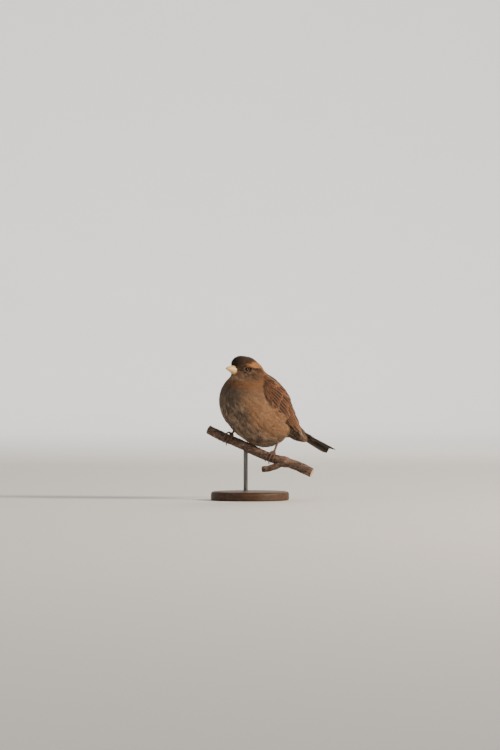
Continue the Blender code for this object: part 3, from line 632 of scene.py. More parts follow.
def vane_template(barbs, sweep, split, fray, seed):
    """A vane as (s along, t across, rise, own t) rows and faces. Its outer part is split into barbs."""
    chance = np.random.default_rng(seed)
    bm = bmesh.new()
    bmesh.ops.create_grid(bm, x_segments=barbs, y_segments=4, size=1.0)
    bmesh.ops.split_edges(bm, edges=margin_cuts(bm))
    for vert in bm.verts:
        if 0.4 < abs(vert.co.y) < 0.6:
            vert.co.y *= split / 0.5 * chance.uniform(0.8, 1.2)
    for face in list(bm.faces):
        outer = [v for v in face.verts if abs(v.co.y) > 0.9]
        if len(outer) == 2:
            middle = (outer[0].co + outer[1].co) / 2
            middle.x += chance.uniform(-0.8, 0.9) * fray / barbs
            middle.y *= 1 + chance.uniform(-0.30, 0.12) * fray
            middle.z = chance.uniform(-0.5, 1.0) * fray
            bmesh.ops.pointmerge(bm, verts=outer, merge_co=middle)
    places = []
    for vert in bm.verts:
        s, t = (vert.co.x + 1) / 2, vert.co.y
        s = 0.02 + (0.98 - sweep) * s + sweep * abs(t) ** 0.9 * (0.75 + 0.25 * s)
        share = min(max(s, 0.02), 1.0)
        wide = share**0.55 * max(1 - share**5.0, 0.0) ** 0.5 / 0.74
        places.append((min(s, 1.04), t * max(wide, 0.05), vert.co.z, t))
    return as_template(bm, places)


def shares_of(stations, values):
    """Each station's weight in a smooth curve through them, at each value."""
    weights = np.ones((len(values), len(stations)))
    for i, a in enumerate(stations):
        for j, other in enumerate(stations):
            if i != j:
                weights[:, i] *= (values - other) / (a - other)
    return weights


SPINE = np.array((
    (-12.5, -11.0, 118.0), (-5.0, -5.2, 119.5), (0.0, -2.0, 108.0), (3.0, 0.0, 92.0),
    (18.0, 8.0, 76.0), (36.0, 17.0, 66.0), (52.0, 26.0, 58.0),
))  # the line that the coat lies along, from the bill to the tail's tip
spine_way = unit(np.gradient(SPINE, axis=0))
spine_way[0] = (0.72, 0.60, -0.3)
bill_root = np.array(HEAD @ Vector(BILL_ROOT * mm))
eyes = [np.array(HEAD @ Vector(EYE * (1, sign, 1) * mm)) for sign in SIDES.values()]
ANKLES = {"left": (28.0, -1.5, 60.0), "right": (-9.5, 9.5, 71.5)}
LIE_REACH, BILL_REACH, ANKLE_REACH = 13.0, 15.0, 7.0  # how far each guides the coat, in millimetres


def lie(points, outward):
    """The way that the coat lies: from the bill over the head, then down and back to the tail."""
    offsets = points[:, None, :] / mm - SPINE[None]
    weights = np.exp(-(offsets**2).sum(-1) / (2 * LIE_REACH**2)) + 1e-9
    way = (weights[:, :, None] * spine_way[None]).sum(1) / weights.sum(1)[:, None]
    away = (points - bill_root) / mm
    near = np.exp(-((np.linalg.norm(away, axis=1, keepdims=True) / BILL_REACH) ** 2))
    way = way * (1 - near) + unit(away) * near * 1.2
    for ankle in ANKLES.values():
        gap = points / mm - np.array(ankle)
        pull = np.exp(-(gap**2).sum(-1) / (2 * ANKLE_REACH**2))[:, None]
        way = way + pull * np.array((0.0, 0.0, -1.1))
    way = way - (way * outward).sum(-1, keepdims=True) * outward
    return unit(way)


STATIONS = np.array((0.0, 0.33, 0.67, 1.0))


def traced(roots, lengths, tree, turned_by=None):
    """Paths of four places along the coat's lie, on a surface, and the outward normals at them."""
    here, out, _ = nearest(tree, roots)
    path, ways = [here], [out]
    for _ in range(3):
        way = lie(here, out)
        if turned_by is not None:
            across = np.cross(out, way)
            way = way * np.cos(turned_by)[:, None] + across * np.sin(turned_by)[:, None]
        here, out, _ = nearest(tree, here + way * (lengths / 3)[:, None])
        path.append(here)
        ways.append(out)
    return np.stack(path, axis=1), np.stack(ways, axis=1)


def spread_net(path, ways, half_widths, tree):
    """The left, middle and right places of each station of each feather, lying on a surface."""
    across = unit(np.cross(ways, unit(np.gradient(path, axis=1))))
    net = np.empty((len(path), path.shape[1], 3, 3))
    net[:, :, 1] = path
    for column, sign in ((0, -1), (2, 1)):
        beside = path + across * sign * half_widths[:, None, None]
        if tree is not None:
            flat = beside.reshape(-1, 3)
            found, _, _ = nearest(tree, flat)
            beside = found.reshape(beside.shape)
        net[:, :, column] = beside
    return net


def feather_mesh(name, templates, net, ways, rise, colour, patch, cell=(0.003, 0.003), camber=0.45):
    """Joins feathers into one mesh: every feather is one of the templates laid on its net.

    rise(s, t, lift, k) gives how far each point stands over the net, and colour(s, t, k) its colours.
    camber is how much the shading turns away on each side of the shaft.
    """
    kinds = np.arange(len(net)) % len(templates)
    all_points, all_faces, facing, tones, vanes, maps = [], [], [], [], [], []
    first = 0
    for kind, (places, faces) in enumerate(templates):
        mine = np.flatnonzero(kinds == kind)
        if not len(mine):
            continue
        s, t, lift, edge = places.T
        along = shares_of(STATIONS, s)
        across = shares_of(np.array((-1.0, 0.0, 1.0)), t)
        spots = np.einsum("vk,vj,mkjc->mvc", along, across, net[mine])
        out = unit(np.einsum("vk,mkc->mvc", shares_of(STATIONS, np.clip(s, 0, 1)), ways[mine]))
        spots += out * rise(s[None], t[None], lift[None], mine[:, None])[:, :, None]
        count = len(places)
        shift = first + np.arange(len(mine)) * count
        for size in (3, 4):
            like = np.array([face for face in faces if len(face) == size])
            if len(like):
                all_faces.append((like[None] + shift[:, None, None]).reshape(-1, size))
        all_points.append(spots.reshape(-1, 3))
        beside = unit(np.einsum("vk,mkc->mvc", along, net[mine][:, :, 2] - net[mine][:, :, 0]))
        facing.append((out + beside * camber * edge[None, :, None]).reshape(-1, 3))
        tones.append(colour(s[None], edge[None], mine[:, None]).reshape(-1, 3))
        marks = np.stack((s, edge, np.zeros(count)), axis=-1)
        vanes.append(np.tile(marks, (len(mine), 1)))
        within = np.stack((s - 0.5, t * 0.5), axis=-1) * np.asarray(cell)
        maps.append((patch[mine][:, None] + within[None]).reshape(-1, 2))
        first += len(mine) * count
    loops = np.concatenate([faces.ravel() for faces in all_faces])
    sizes = np.concatenate([np.full(len(faces), faces.shape[1]) for faces in all_faces])
    mesh = bpy.data.meshes.new(name)
    mesh.vertices.add(first)
    mesh.vertices.foreach_set("co", np.concatenate(all_points).ravel())
    mesh.loops.add(len(loops))
    mesh.loops.foreach_set("vertex_index", loops)
    mesh.polygons.add(len(sizes))
    mesh.polygons.foreach_set("loop_start", np.concatenate(([0], np.cumsum(sizes)[:-1])))
    mesh.update(calc_edges=True)
    mesh.validate()
    mesh.shade_smooth()
    mesh.normals_split_custom_set_from_vertices(unit(np.concatenate(facing)))
    paint_points(mesh, "plumage", np.concatenate(tones))
    layer = mesh.attributes.new("vane", "FLOAT_VECTOR", "POINT")
    layer.data.foreach_set("vector", np.concatenate(vanes).astype(np.float32).ravel())
    flat_map = mesh.uv_layers.new(name="OFBake")
    flat_map.data.foreach_set("uv", np.concatenate(maps)[loops].astype(np.float32).ravel())
    return mesh


WING_LOWER = ((8, 21, 17), (-2.4, 27, -3), (-18.5, 23.5, -17.5), (-35, 15, -26.5), (-47.5, 8.5, -32.5))
WING_UPPER = ((-3, 15, 25), (-14, 13.5, 14), (-26.5, 10.5, 1), (-38, 7, -13.5), (-46.5, 7, -29.5))
WING_AXIS = ((1, 0, 13), (-7, 0, 4), (-18, 0, -8), (-31, 0, -19), (-45, 0, -30))


def curve_through(points, t):
    """Places at each t, from 0 to 1, on a smooth curve through evenly spaced points."""
    points, t = np.asarray(points, float), np.asarray(t, float)
    last = len(points) - 1
    i = np.clip((t * last).astype(int), 0, last - 1)
    f = (t * last - i)[:, None]
    p = [points[np.clip(i + k, 0, last)] for k in (-1, 0, 1, 2)]
    bend = (2 * p[0] - 5 * p[1] + 4 * p[2] - p[3]) * f**2 + (3 * p[1] - p[0] - 3 * p[2] + p[3]) * f**3
    return 0.5 * (2 * p[1] + (p[2] - p[0]) * f + bend)


def neighbours(grid):
    """The sum of the four neighbours of each place in a grid."""
    padded = np.pad(grid, 1, mode="edge")
    return padded[:-2, 1:-1] + padded[2:, 1:-1] + padded[1:-1, :-2] + padded[1:-1, 2:]


class WingSheet:
    """The outer face of one folded wing, by shares u from bend to tip and v from lower to upper edge."""

    ROWS, COLUMNS = 33, 17
    OUTSIDE, TRUSTED = 60 * mm, 12 * mm  # where rays start, and how far from the guess they may end

    def __init__(self, side):
        sign = SIDES[side]
        nodes = [f"wing_{side}_{group}" for group in ("coverts", "secondaries", "primaries")]
        tree = tree_of(to_mesh(cad_copy(*nodes), "wing"))
        shares = np.linspace(0, 1, self.ROWS)
        middle = curve_through(WING_AXIS, shares)
        lower, upper = curve_through(WING_LOWER, shares) - middle, curve_through(WING_UPPER, shares) - middle
        reach = np.full((self.ROWS, self.COLUMNS), np.nan)
        guess = np.empty_like(reach)
        start = np.empty((self.ROWS, self.COLUMNS, 3))
        way = np.empty_like(start)
        flip = np.array((1, sign, 1))
        for i in range(self.ROWS):
            low_way, high_way = unit(lower[i]), unit(upper[i])
            for j in range(self.COLUMNS):
                v = j / (self.COLUMNS - 1)
                way[i, j] = world_way(BODY, unit(low_way * (1 - v) + high_way * v) * flip)
                start[i, j] = np.array(BODY @ Vector(middle[i] * mm))
                guess[i, j] = (np.linalg.norm(lower[i]) * (1 - v) + np.linalg.norm(upper[i]) * v) * mm
                outside = Vector(start[i, j] + way[i, j] * self.OUTSIDE)
                hit, _, _, gap = tree.ray_cast(outside, Vector(-way[i, j]))
                if hit is not None and abs(self.OUTSIDE - gap - guess[i, j]) < self.TRUSTED:
                    reach[i, j] = self.OUTSIDE - gap
        filled = np.where(np.isnan(reach), guess, reach)
        for _ in range(60):  # places that missed take after their neighbours
            filled = np.where(np.isnan(reach), neighbours(filled) / 4, filled)
        for _ in range(3):
            filled = (neighbours(filled) + 2 * filled) / 6
        self.grid = start + way * filled[..., None]
        out = unit(np.cross(np.gradient(self.grid, axis=0), np.gradient(self.grid, axis=1)))
        self.out = out * np.sign((out * way).sum(-1, keepdims=True))

    def at(self, grid, u, v):
        """What one of the sheet's grids has at each pair of shares."""
        x, y = np.asarray(u) * (self.ROWS - 1), np.asarray(v) * (self.COLUMNS - 1)
        i = np.clip(x.astype(int), 0, self.ROWS - 2)
        j = np.clip(y.astype(int), 0, self.COLUMNS - 2)
        f, g = (x - i)[..., None], (y - j)[..., None]
        near = grid[i, j] * (1 - g) + grid[i, j + 1] * g
        far = grid[i + 1, j] * (1 - g) + grid[i + 1, j + 1] * g
        return near * (1 - f) + far * f

    def feathers(self, plan):
        """(net, ways) of feathers from (root u, v, tip u, v, bow, outer width, inner width) rows."""
        plan = np.asarray(plan)
        steps = STATIONS[None]
        u = plan[:, 0:1] + (plan[:, 2:3] - plan[:, 0:1]) * steps
        v = plan[:, 1:2] + (plan[:, 3:4] - plan[:, 1:2]) * steps + plan[:, 4:5] * 4 * steps * (1 - steps)
        middle, out = self.at(self.grid, u, v), unit(self.at(self.out, u, v))
        inside = np.clip(v, 0.05, 0.95)
        span = self.at(self.grid, u, inside + 0.05) - self.at(self.grid, u, inside - 0.05)
        spread = np.linalg.norm(span, axis=2) / 0.1
        net = np.empty((len(plan), 4, 3, 3))
        net[:, :, 1] = middle
        net[:, :, 0] = self.at(self.grid, u, v - plan[:, 5:6] * mm / spread)
        net[:, :, 2] = self.at(self.grid, u, v + plan[:, 6:7] * mm / spread)
        return net, out


wing_sheets = {side: WingSheet(side) for side in SIDES}
sheet_tree = KDTree(2 * WingSheet.ROWS * WingSheet.COLUMNS)
for index, spot in enumerate(np.concatenate([sheet.grid.reshape(-1, 3) for sheet in wing_sheets.values()])):
    sheet_tree.insert(spot, index)
sheet_tree.balance()


def wing_shares(points):
    """(u, v) of the nearest place on either folded wing."""
    index = np.array([sheet_tree.find(point)[1] for point in points]) % (WingSheet.ROWS * WingSheet.COLUMNS)
    return (index // WingSheet.COLUMNS) / (WingSheet.ROWS - 1), (index % WingSheet.COLUMNS) / (WingSheet.COLUMNS - 1)


# the skin's own unwrap, which places each feather's patch
UNWRAP_SHARE = 0.06  # of the skin's faces are enough for it
holder = bpy.data.objects.new("unwrap", evaluated(skin, ("DECIMATE", {"ratio": UNWRAP_SHARE})))
bpy.context.scene.collection.objects.link(holder)
bpy.context.view_layer.objects.active = holder
holder.select_set(True)
bpy.ops.object.mode_set(mode="EDIT")
bpy.ops.mesh.select_all(action="SELECT")
bpy.ops.uv.smart_project(angle_limit=math.radians(66), island_margin=0.004)
bpy.ops.object.mode_set(mode="OBJECT")
unwrapped = holder.data
unwrap_tree = tree_of(unwrapped)
unwrap_uv = np.empty(len(unwrapped.loops) * 2)
unwrapped.uv_layers.active.data.foreach_get("uv", unwrap_uv)
unwrap_uv = unwrap_uv.reshape(-1, 2)
unwrap_loops = [tuple(t.loops) for t in unwrapped.loop_triangles]
unwrap_corners = [[unwrapped.vertices[v].co.copy() for v in t.vertices] for t in unwrapped.loop_triangles]
bpy.data.objects.remove(holder)


def patches(roots):
    """Each root's place on the skin's unwrap."""
    found = []
    for root in roots:
        spot, _, index, _ = unwrap_tree.find_nearest(root)
        a, b, c = unwrap_corners[index]
        whole = (b - a).cross(c - a)
        size = max(whole.length_squared, 1e-20)
        third = (b - a).cross(spot - a).dot(whole) / size
        second = (spot - a).cross(c - a).dot(whole) / size
        uv = unwrap_uv[list(unwrap_loops[index])]
        found.append(uv[0] * (1 - second - third) + uv[1] * second + uv[2] * third)
    return np.clip(np.array(found), 0.003, 0.997)


AROUND = [(i, j, k) for i in (-1, 0, 1) for j in (-1, 0, 1) for k in (-1, 0, 1)]


def scattered(mesh, spacing, allowed, tries=9):
    """Places all over a surface, no closer than the spacing there, which spacing() gives."""
    mesh.calc_loop_triangles()
    corners = np.array([t.vertices[:] for t in mesh.loop_triangles])
    spots = coordinates(mesh)[corners]
    area = np.linalg.norm(np.cross(spots[:, 1] - spots[:, 0], spots[:, 2] - spots[:, 0]), axis=1) / 2
    centre = spots.mean(1)
    wanted = area / spacing(centre) ** 2 * allowed(centre)
    count = int(wanted.sum() * tries)
    chosen = rng.choice(len(area), size=count, p=wanted / wanted.sum())
    a, b = rng.random(count), rng.random(count)
    fold = a + b > 1
    a[fold], b[fold] = 1 - a[fold], 1 - b[fold]
    tried = spots[chosen]
    tried = tried[:, 0] + (tried[:, 1] - tried[:, 0]) * a[:, None] + (tried[:, 2] - tried[:, 0]) * b[:, None]
    gap = spacing(tried)
    cell = gap.max()
    grid, kept = {}, []
    for point, reach, (x, y, z) in zip(tried.tolist(), gap.tolist(), np.floor(tried / cell).astype(int).tolist()):
        near = (other for i, j, k in AROUND for other in grid.get((x + i, y + j, z + k), ()))
        if all(math.dist(other, point) >= reach for other in near):
            grid.setdefault((x, y, z), []).append(point)
            kept.append(point)
    return np.array(kept)


def regions(points):
    """How far each place belongs to each region of the coat, and the later ones cover the earlier."""
    h, b, t = local(HEAD, points), local(BODY, points), local(TAIL, points)
    back = back_share(b)
    ankles = [np.linalg.norm(points / mm - np.array(ankle), axis=1) for ankle in ANKLES.values()]
    return {
        "belly": smooth_step(10, -14, b[:, 2]) * (1 - back),
        "back": back,
        "head": smooth_step(23, 13, np.linalg.norm(h, axis=1)),
        "face": smooth_step(11.5, 4.0, np.linalg.norm(h - BILL_ROOT, axis=1)),
        "thigh": smooth_step(11, 5, np.minimum(*ankles)),
        "vent": smooth_step(-12, -3, t[:, 0]) * (np.abs(t[:, 1]) < 14),
    }


# measures of the feathers in each region: the body's own first; millimetres, but for the half width
FEATHER_GAP = {"body": 0.95, "belly": 0.92, "back": 1.35, "head": 0.66, "face": 0.46, "thigh": 0.80, "vent": 1.9}
FEATHER_LENGTH = {"body": 9.5, "belly": 11.5, "back": 8.5, "head": 4.6, "face": 1.9, "thigh": 5.0, "vent": 12.5}
HALF_WIDTH = {"body": 0.18, "belly": 0.165, "back": 0.22, "head": 0.20, "face": 0.28, "vent": 0.27}  # of the length
ROOT_DEPTH = {"body": 2.3, "head": 1.0, "face": 0.3, "thigh": 1.2, "vent": 1.4}
TIP_STAND = {"body": 0.25, "belly": 0.55, "head": 0.10, "face": 0.05}
FLUFF = {"body": 0.35, "belly": 0.5, "back": 0.15, "head": 0.10, "face": 0.05}
EYE_CLEAR, EYE_STOP = 4.0, 3.2  # millimetres from an eye's middle that roots and tips keep
SHORTEST = 0.8 * mm


def by_region(points, measure):
    """A measure at each place, going over smoothly from region to region."""
    found = np.full(len(points), measure["body"])
    for region, share in regions(points).items():
        if region in measure:
            found = found * (1 - share) + measure[region] * share
    return found


def grows(points):
    """1 where the coat grows: not on the wings past their edges, the tail, the eyes, the bill and the bare legs."""
    to_wing, to_form = gap_to(wing_tree, points), gap_to(form_tree, points)
    u, v = wing_shares(points)
    # the coat laps over the wing's lower edge and its bend
    on_edge = ((v < 0.12) & (u < 0.46)) | (u < 0.09) | (u + 0.40 * v < 0.235)
    kept = (to_wing > to_form - 0.1) | (to_wing > 0.7) | on_edge
    kept &= (gap_to(tail_tree, points) > 0.8) | (local(TAIL, points)[:, 0] < 3.0)
    for eye in eyes:
        kept &= np.linalg.norm(points - eye, axis=1) > EYE_CLEAR * mm
    x, y, z = local(HEAD, points).T
    kept &= (gap_to(bill_tree, points) > 0.12) & ((x < 9.6) | (np.abs(z + 1.2) > 4.0) | (np.abs(y) > 3.4))
    return (kept & (gap_to(leg_tree, points) > 0.5)).astype(float)


roots = scattered(coat_form, lambda places: by_region(places, FEATHER_GAP) * mm, grows)
roots = roots[grows(roots) > 0]
in_body, in_head, region = local(BODY, roots), local(HEAD, roots), regions(roots)
head, back, belly = region["head"], region["back"], region["belly"]
lengths = by_region(roots, FEATHER_LENGTH) * mm * (1 + 0.18 * rng.standard_normal(len(roots)).clip(-1.5, 1.5))
swing = rng.normal(0.0, 0.10, len(roots)) + 0.25 * ripple(in_body, 6.0, 5)
coat_lie = lie(roots, nearest(coat_tree, roots)[1])
for eye in eyes:  # feathers in front of an eye stop short of it
    to_eye = eye - roots
    gap = np.linalg.norm(to_eye, axis=1)
    ahead = (coat_lie * to_eye).sum(-1) / gap
    limit = np.where(ahead > 0.30, gap - EYE_STOP * mm, np.inf)
    lengths = np.minimum(lengths, np.maximum(limit, SHORTEST))
path, ways = traced(roots, lengths, coat_tree, swing)
widths = lengths * by_region(roots, HALF_WIDTH)
net = spread_net(path, ways, widths, coat_tree)
skin_spots = patches(roots)
deep = by_region(roots, ROOT_DEPTH) * mm
proud = by_region(roots, TIP_STAND) * mm * (0.6 + 0.8 * rng.random(len(roots)))
proud = proud * (1 + 2.2 * belly * lock_noise(in_body))
fluff = by_region(roots, FLUFF) * mm
tip_tone, middle_tone = plumage(path[:, 3]), plumage(path[:, 2])
# dark and pale rows down the mantle, fringed coverts over and under the tail's root, flecks on the crown
row = np.cos(math.tau * in_body[:, 1] / 5.6 + 0.8 * ripple(in_body, 6.0, 8))
mantle = back * (1 - head)
streaked = 0.95 * mantle * smooth_step(-27, -17, in_body[:, 0]) * smooth_step(-0.15, 0.35, row)
pale_row = 0.8 * mantle * smooth_step(-24, -16, in_body[:, 0]) * smooth_step(-0.35, -0.8, row)
covert = smooth_step(-20, -25, in_body[:, 0] + 2 * ripple(in_body, 6.0, 9)) * (1 - 0.65 * back)
crown_fleck = 0.6 * head * smooth_step(4.0, 6.0, in_head[:, 2]) * (rng.random(len(roots)) > 0.45)
vary = 1 + 0.10 * rng.standard_normal(len(roots))


def coat_rise(s, t, lift, k):
    ramp = np.clip(s, 0, 1) ** 0.75
    height = -deep[k] * (1 - ramp) + proud[k] * ramp
    curl = fluff[k] * (lift * 0.55 * np.abs(t) + 0.35 * smooth_step(0.6, 1.0, s) * lift)
    return height + curl - 0.12 * widths[k] * t**2


def coat_colour(s, t, k):
    t = np.abs(t)
    share = smooth_step(0.35, 1.0, s)
    tone = mixed(middle_tone[k], tip_tone[k], share) * (1 + 0.30 * share * (t - 0.35))[..., None]
    tone = mixed(tone, SOOT, streaked[k] * smooth_step(0.92, 0.55, t) * smooth_step(1.12, 0.96, s))
    tone = mixed(tone, SOOT, crown_fleck[k] * smooth_step(0.6, 0.2, t) * smooth_step(1.0, 0.8, s))
    fringed = mixed(UMBER, CREAM * 0.8, smooth_step(0.35, 0.75, t + 0.5 * smooth_step(0.6, 1.0, s)))
    tone = mixed(tone, fringed, 0.9 * covert[k])
    tone = mixed(tone, BUFF, pale_row[k] * smooth_step(0.1, 0.5, t))
    # painted shade: each feather darker towards its root, where the feathers over it cover it
    return tone * (0.72 + 0.28 * smooth_step(0.2, 0.7, s))[..., None] * vary[k][..., None]


def barb_wave(paint, slant, count):
    """A wave across the barbs, which run forwards from the shaft."""
    along = paint.node("ShaderNodeSeparateXYZ", None, {0: paint.attribute("vane", "Vector")}, "X")
    across = Socket(paint, along.output.node.outputs["Y"])
    across = paint.node("ShaderNodeMath", {"operation": "ABSOLUTE"}, {0: across})
    return paint.node("ShaderNodeMath", {"operation": "SINE"}, {0: (along - across * slant) * count})


coat_paint = Paint("contour_feathers", Roughness=0.82, Specular_IOR_Level=0.25)
tone = coat_paint.attribute("plumage")
barbs = barb_wave(coat_paint, 0.30, 150.0)
between = coat_paint.blend(1.0, tone, (0.45, 0.42, 0.40), "MULTIPLY")
coat_paint.drive(Base_Color=coat_paint.blend(barbs.above(-1.0, 1.0) * 0.35, tone, between))
coat_paint.bump(barbs, 0.00006, 0.5)

soft = [vane_template(14, 0.36, 0.30, 1.0, seed) for seed in range(6)]
neat = [vane_template(12, 0.34, 0.45, 0.5, seed + 20) for seed in range(6)]
under = (head <= 0.5) & (back <= 0.45)
low_down = in_body[:, 2] <= 0
coat_parts = {
    "head_feathers_left": (head > 0.5) & (in_head[:, 1] > 0),
    "head_feathers_right": (head > 0.5) & (in_head[:, 1] <= 0),
    "back_feathers": (head <= 0.5) & (back > 0.45),
    "breast_feathers": under & ~low_down,
    "belly_feathers_left": under & low_down & (in_body[:, 1] > 0),
    "belly_feathers_right": under & low_down & (in_body[:, 1] <= 0),
}
for name, mine in coat_parts.items():
    k = np.flatnonzero(mine)
    mesh = feather_mesh(
        name, neat if name.startswith(("head", "back")) else soft, net[k], ways[k],
        lambda s, t, lift, i: coat_rise(s, t, lift, k[i]), lambda s, t, i: coat_colour(s, t, k[i]), skin_spots[k],
    )
    piece = add_piece(name, mesh, coat_paint)
    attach(piece, "root")

# ---- folded wings ----------------------------------------------------------------------------------------
# Each wing's own feathers, laid one over the next from the quills up: primaries, secondaries, the three
# broad tertials, the greater, median and lesser coverts with the alula at the front, and the scapulars.
def quill_template(rows, columns, tip, seed, slits=3):
    """A long firm vane, whole but for a few slits, with the shaft as a ridge down its middle."""
    chance = np.random.default_rng(seed)
    bm = bmesh.new()
    bmesh.ops.create_grid(bm, x_segments=rows, y_segments=columns, size=1.0)
    torn = chance.uniform(-0.3, 0.85, slits)
    cuts = [edge for edge in margin_cuts(bm) if np.abs(edge.verts[0].co.x - torn).min() < 1.0 / rows]
    bmesh.ops.split_edges(bm, edges=cuts)
    for face in bm.faces:
        outer = [v for v in face.verts if abs(v.co.y) > 0.99 and len(v.link_faces) == 1]
        for vert in outer:
            vert.co.x += 0.25 * (face.calc_center_median().x - vert.co.x)
    places = []
    for vert in bm.verts:
        s, t = (vert.co.x + 1) / 2, vert.co.y
        ahead = 0.10 * abs(t) ** 1.2 * (1 - 0.5 * s)
        s = 0.9 * s + ahead * (1 - s) + 0.1 * s
        share = min(max(s, 0.0), 1.0)
        wide = (0.30 + 0.70 * float(smooth_step(0.0, 0.45, share)))
        wide *= max(1 - max(share - tip, 0.0) ** 2.4 / (1 - tip) ** 2.4, 0.0) ** 0.5
        flat = t if abs(t) > 0.2 else t * 0.35
        places.append((s, flat * max(wide, 0.03), 1.0 if abs(t) < 0.02 else 0.0, t))
    return as_template(bm, places)


def atlas(count):
    """Middles and size of one cell for each feather, side by side on the map."""
    columns = math.ceil(math.sqrt(count * 3.0))
    rows = math.ceil(count / columns)
    k = np.arange(count)
    middles = np.stack(((k // columns + 0.5) / rows, (k % columns + 0.5) / columns), axis=-1)
    return middles, (0.9 / rows, 0.8 / columns)


quill_paint = Paint("wing_quills", Roughness=0.62, Specular_IOR_Level=0.35)
tone = quill_paint.attribute("plumage")
barbs = barb_wave(quill_paint, 0.22, 300.0)
shade = quill_paint.noise(quill_paint.place(scale=(700.0, 700.0, 700.0)), 1.0)
between = quill_paint.blend(1.0, tone, (0.5, 0.48, 0.46), "MULTIPLY")
quill_paint.drive(Base_Color=quill_paint.blend(barbs.above(-1.0, 1.0) * 0.3 + shade * 0.25, tone, between))
quill_paint.bump(barbs + shade, 0.00005, 0.6)

quills = [quill_template(14, 8, 0.80, seed) for seed in range(3)]
rounded = [quill_template(10, 6, 0.62, seed + 9, 1) for seed in range(4)]
small = [vane_template(10, 0.22, 0.55, 0.35, seed + 60) for seed in range(4)]


STAND_STEP = 0.09  # millimetres by which each feather lies over the last


def feather_row(count, root_a, root_b, tip_a, tip_b, outer, inner, stand, look, bow=0.0):
    """A row from the lower edge upwards: each feather's plan, stand and look."""
    rows = []
    for i in range(count):
        f = i / (count - 1)
        root, tip = (np.array(a) * (1 - f) + np.array(b) * f for a, b in ((root_a, root_b), (tip_a, tip_b)))
        rows.append((*root, *tip, bow, outer, inner, stand + STAND_STEP * i, *look))
    return rows


# looks: the colours of middle, margin and tip, then the margin's share of the width and the tip's length
PRIMARY = (*SOOT, *DRAB, *CREAM, 0.12, 0.10)
SECONDARY = (*SOOT, *GOLDEN, *BUFF, 0.38, 0.10)
TERTIAL = (*SOOT, *GOLDEN, *BUFF, 0.30, 0.16)
GREATER = (*SOOT, *RUFOUS, *GOLDEN, 0.52, 0.12)
MEDIAN = (*SOOT, *RUFOUS, *GOLDEN, 0.50, 0.14)
LESSER = (*SOOT, *RUFOUS, *GOLDEN, 0.46, 0.08)
SCAPULAR = (*SOOT, *RUFOUS, *RUFOUS, 0.40, 0.06)
PALE_SCAPULAR = (*SOOT, *GOLDEN, *BUFF, 0.46, 0.08)
ALULA = (*UMBER, *DRAB, *DRAB, 0.25, 0.1)

SINK, TUCK = 0.9 * mm, 0.28 * mm  # how deep the roots lie, and how far the inner edge goes under the next
SHAFT, CUP = 0.10 * mm, 0.12 * mm  # the shaft's height, and the drop of the vane's margins

wing_groups = {
    "primaries": (quills, "flight_feathers", [
        *feather_row(7, (0.40, 0.02), (0.42, 0.22), (1.0, 0.42), (0.83, 0.20), 1.6, 3.4, -0.55, PRIMARY),
    ]),
    "secondaries": (quills, "wing_feathers", [
        *feather_row(6, (0.36, 0.26), (0.36, 0.60), (0.76, 0.16), (0.83, 0.36), 1.9, 4.0, -0.35, SECONDARY),
        *feather_row(3, (0.34, 0.66), (0.34, 0.88), (0.86, 0.50), (0.66, 0.88), 3.4, 3.8, 0.15, TERTIAL, 0.02),
    ]),
    "coverts": (rounded, "wing_feathers", [
        *feather_row(3, (0.20, 0.05), (0.20, 0.14), (0.50, 0.02), (0.44, 0.10), 1.3, 2.0, -0.1, ALULA),
        *feather_row(9, (0.20, 0.12), (0.20, 0.94), (0.46, 0.10), (0.47, 0.93), 1.9, 2.6, 0.0, GREATER),
        *feather_row(9, (0.12, 0.08), (0.12, 0.95), (0.305, 0.08), (0.32, 0.93), 1.9, 2.3, 0.25, MEDIAN),
    ]),
    "scapulars": (rounded, "wing_feathers", [
        *feather_row(4, (0.10, 0.80), (0.10, 1.02), (0.42, 0.80), (0.50, 1.00), 2.1, 2.1, 0.35, PALE_SCAPULAR),
        *feather_row(5, (0.04, 0.74), (0.04, 1.05), (0.30, 0.72), (0.36, 1.02), 2.1, 2.1, 0.45, SCAPULAR),
        *feather_row(5, (-0.03, 0.70), (-0.03, 1.05), (0.19, 0.70), (0.25, 1.02), 2.0, 2.0, 0.5, PALE_SCAPULAR),
        *feather_row(4, (-0.08, 0.75), (-0.08, 1.05), (0.10, 0.75), (0.15, 1.02), 1.9, 1.9, 0.5, SCAPULAR),
    ]),
    "lesser_coverts": (small, "wing_feathers", [
        *feather_row(9, (0.09, 0.05), (0.08, 0.95), (0.23, 0.05), (0.23, 0.95), 1.8, 1.8, 0.15, LESSER),
        *feather_row(10, (0.06, 0.02), (0.05, 0.98), (0.18, 0.02), (0.18, 0.96), 1.7, 1.7, 0.20, LESSER),
        *feather_row(9, (0.03, 0.20), (0.02, 0.94), (0.14, 0.20), (0.13, 0.94), 1.6, 1.6, 0.25, LESSER),
    ]),
}

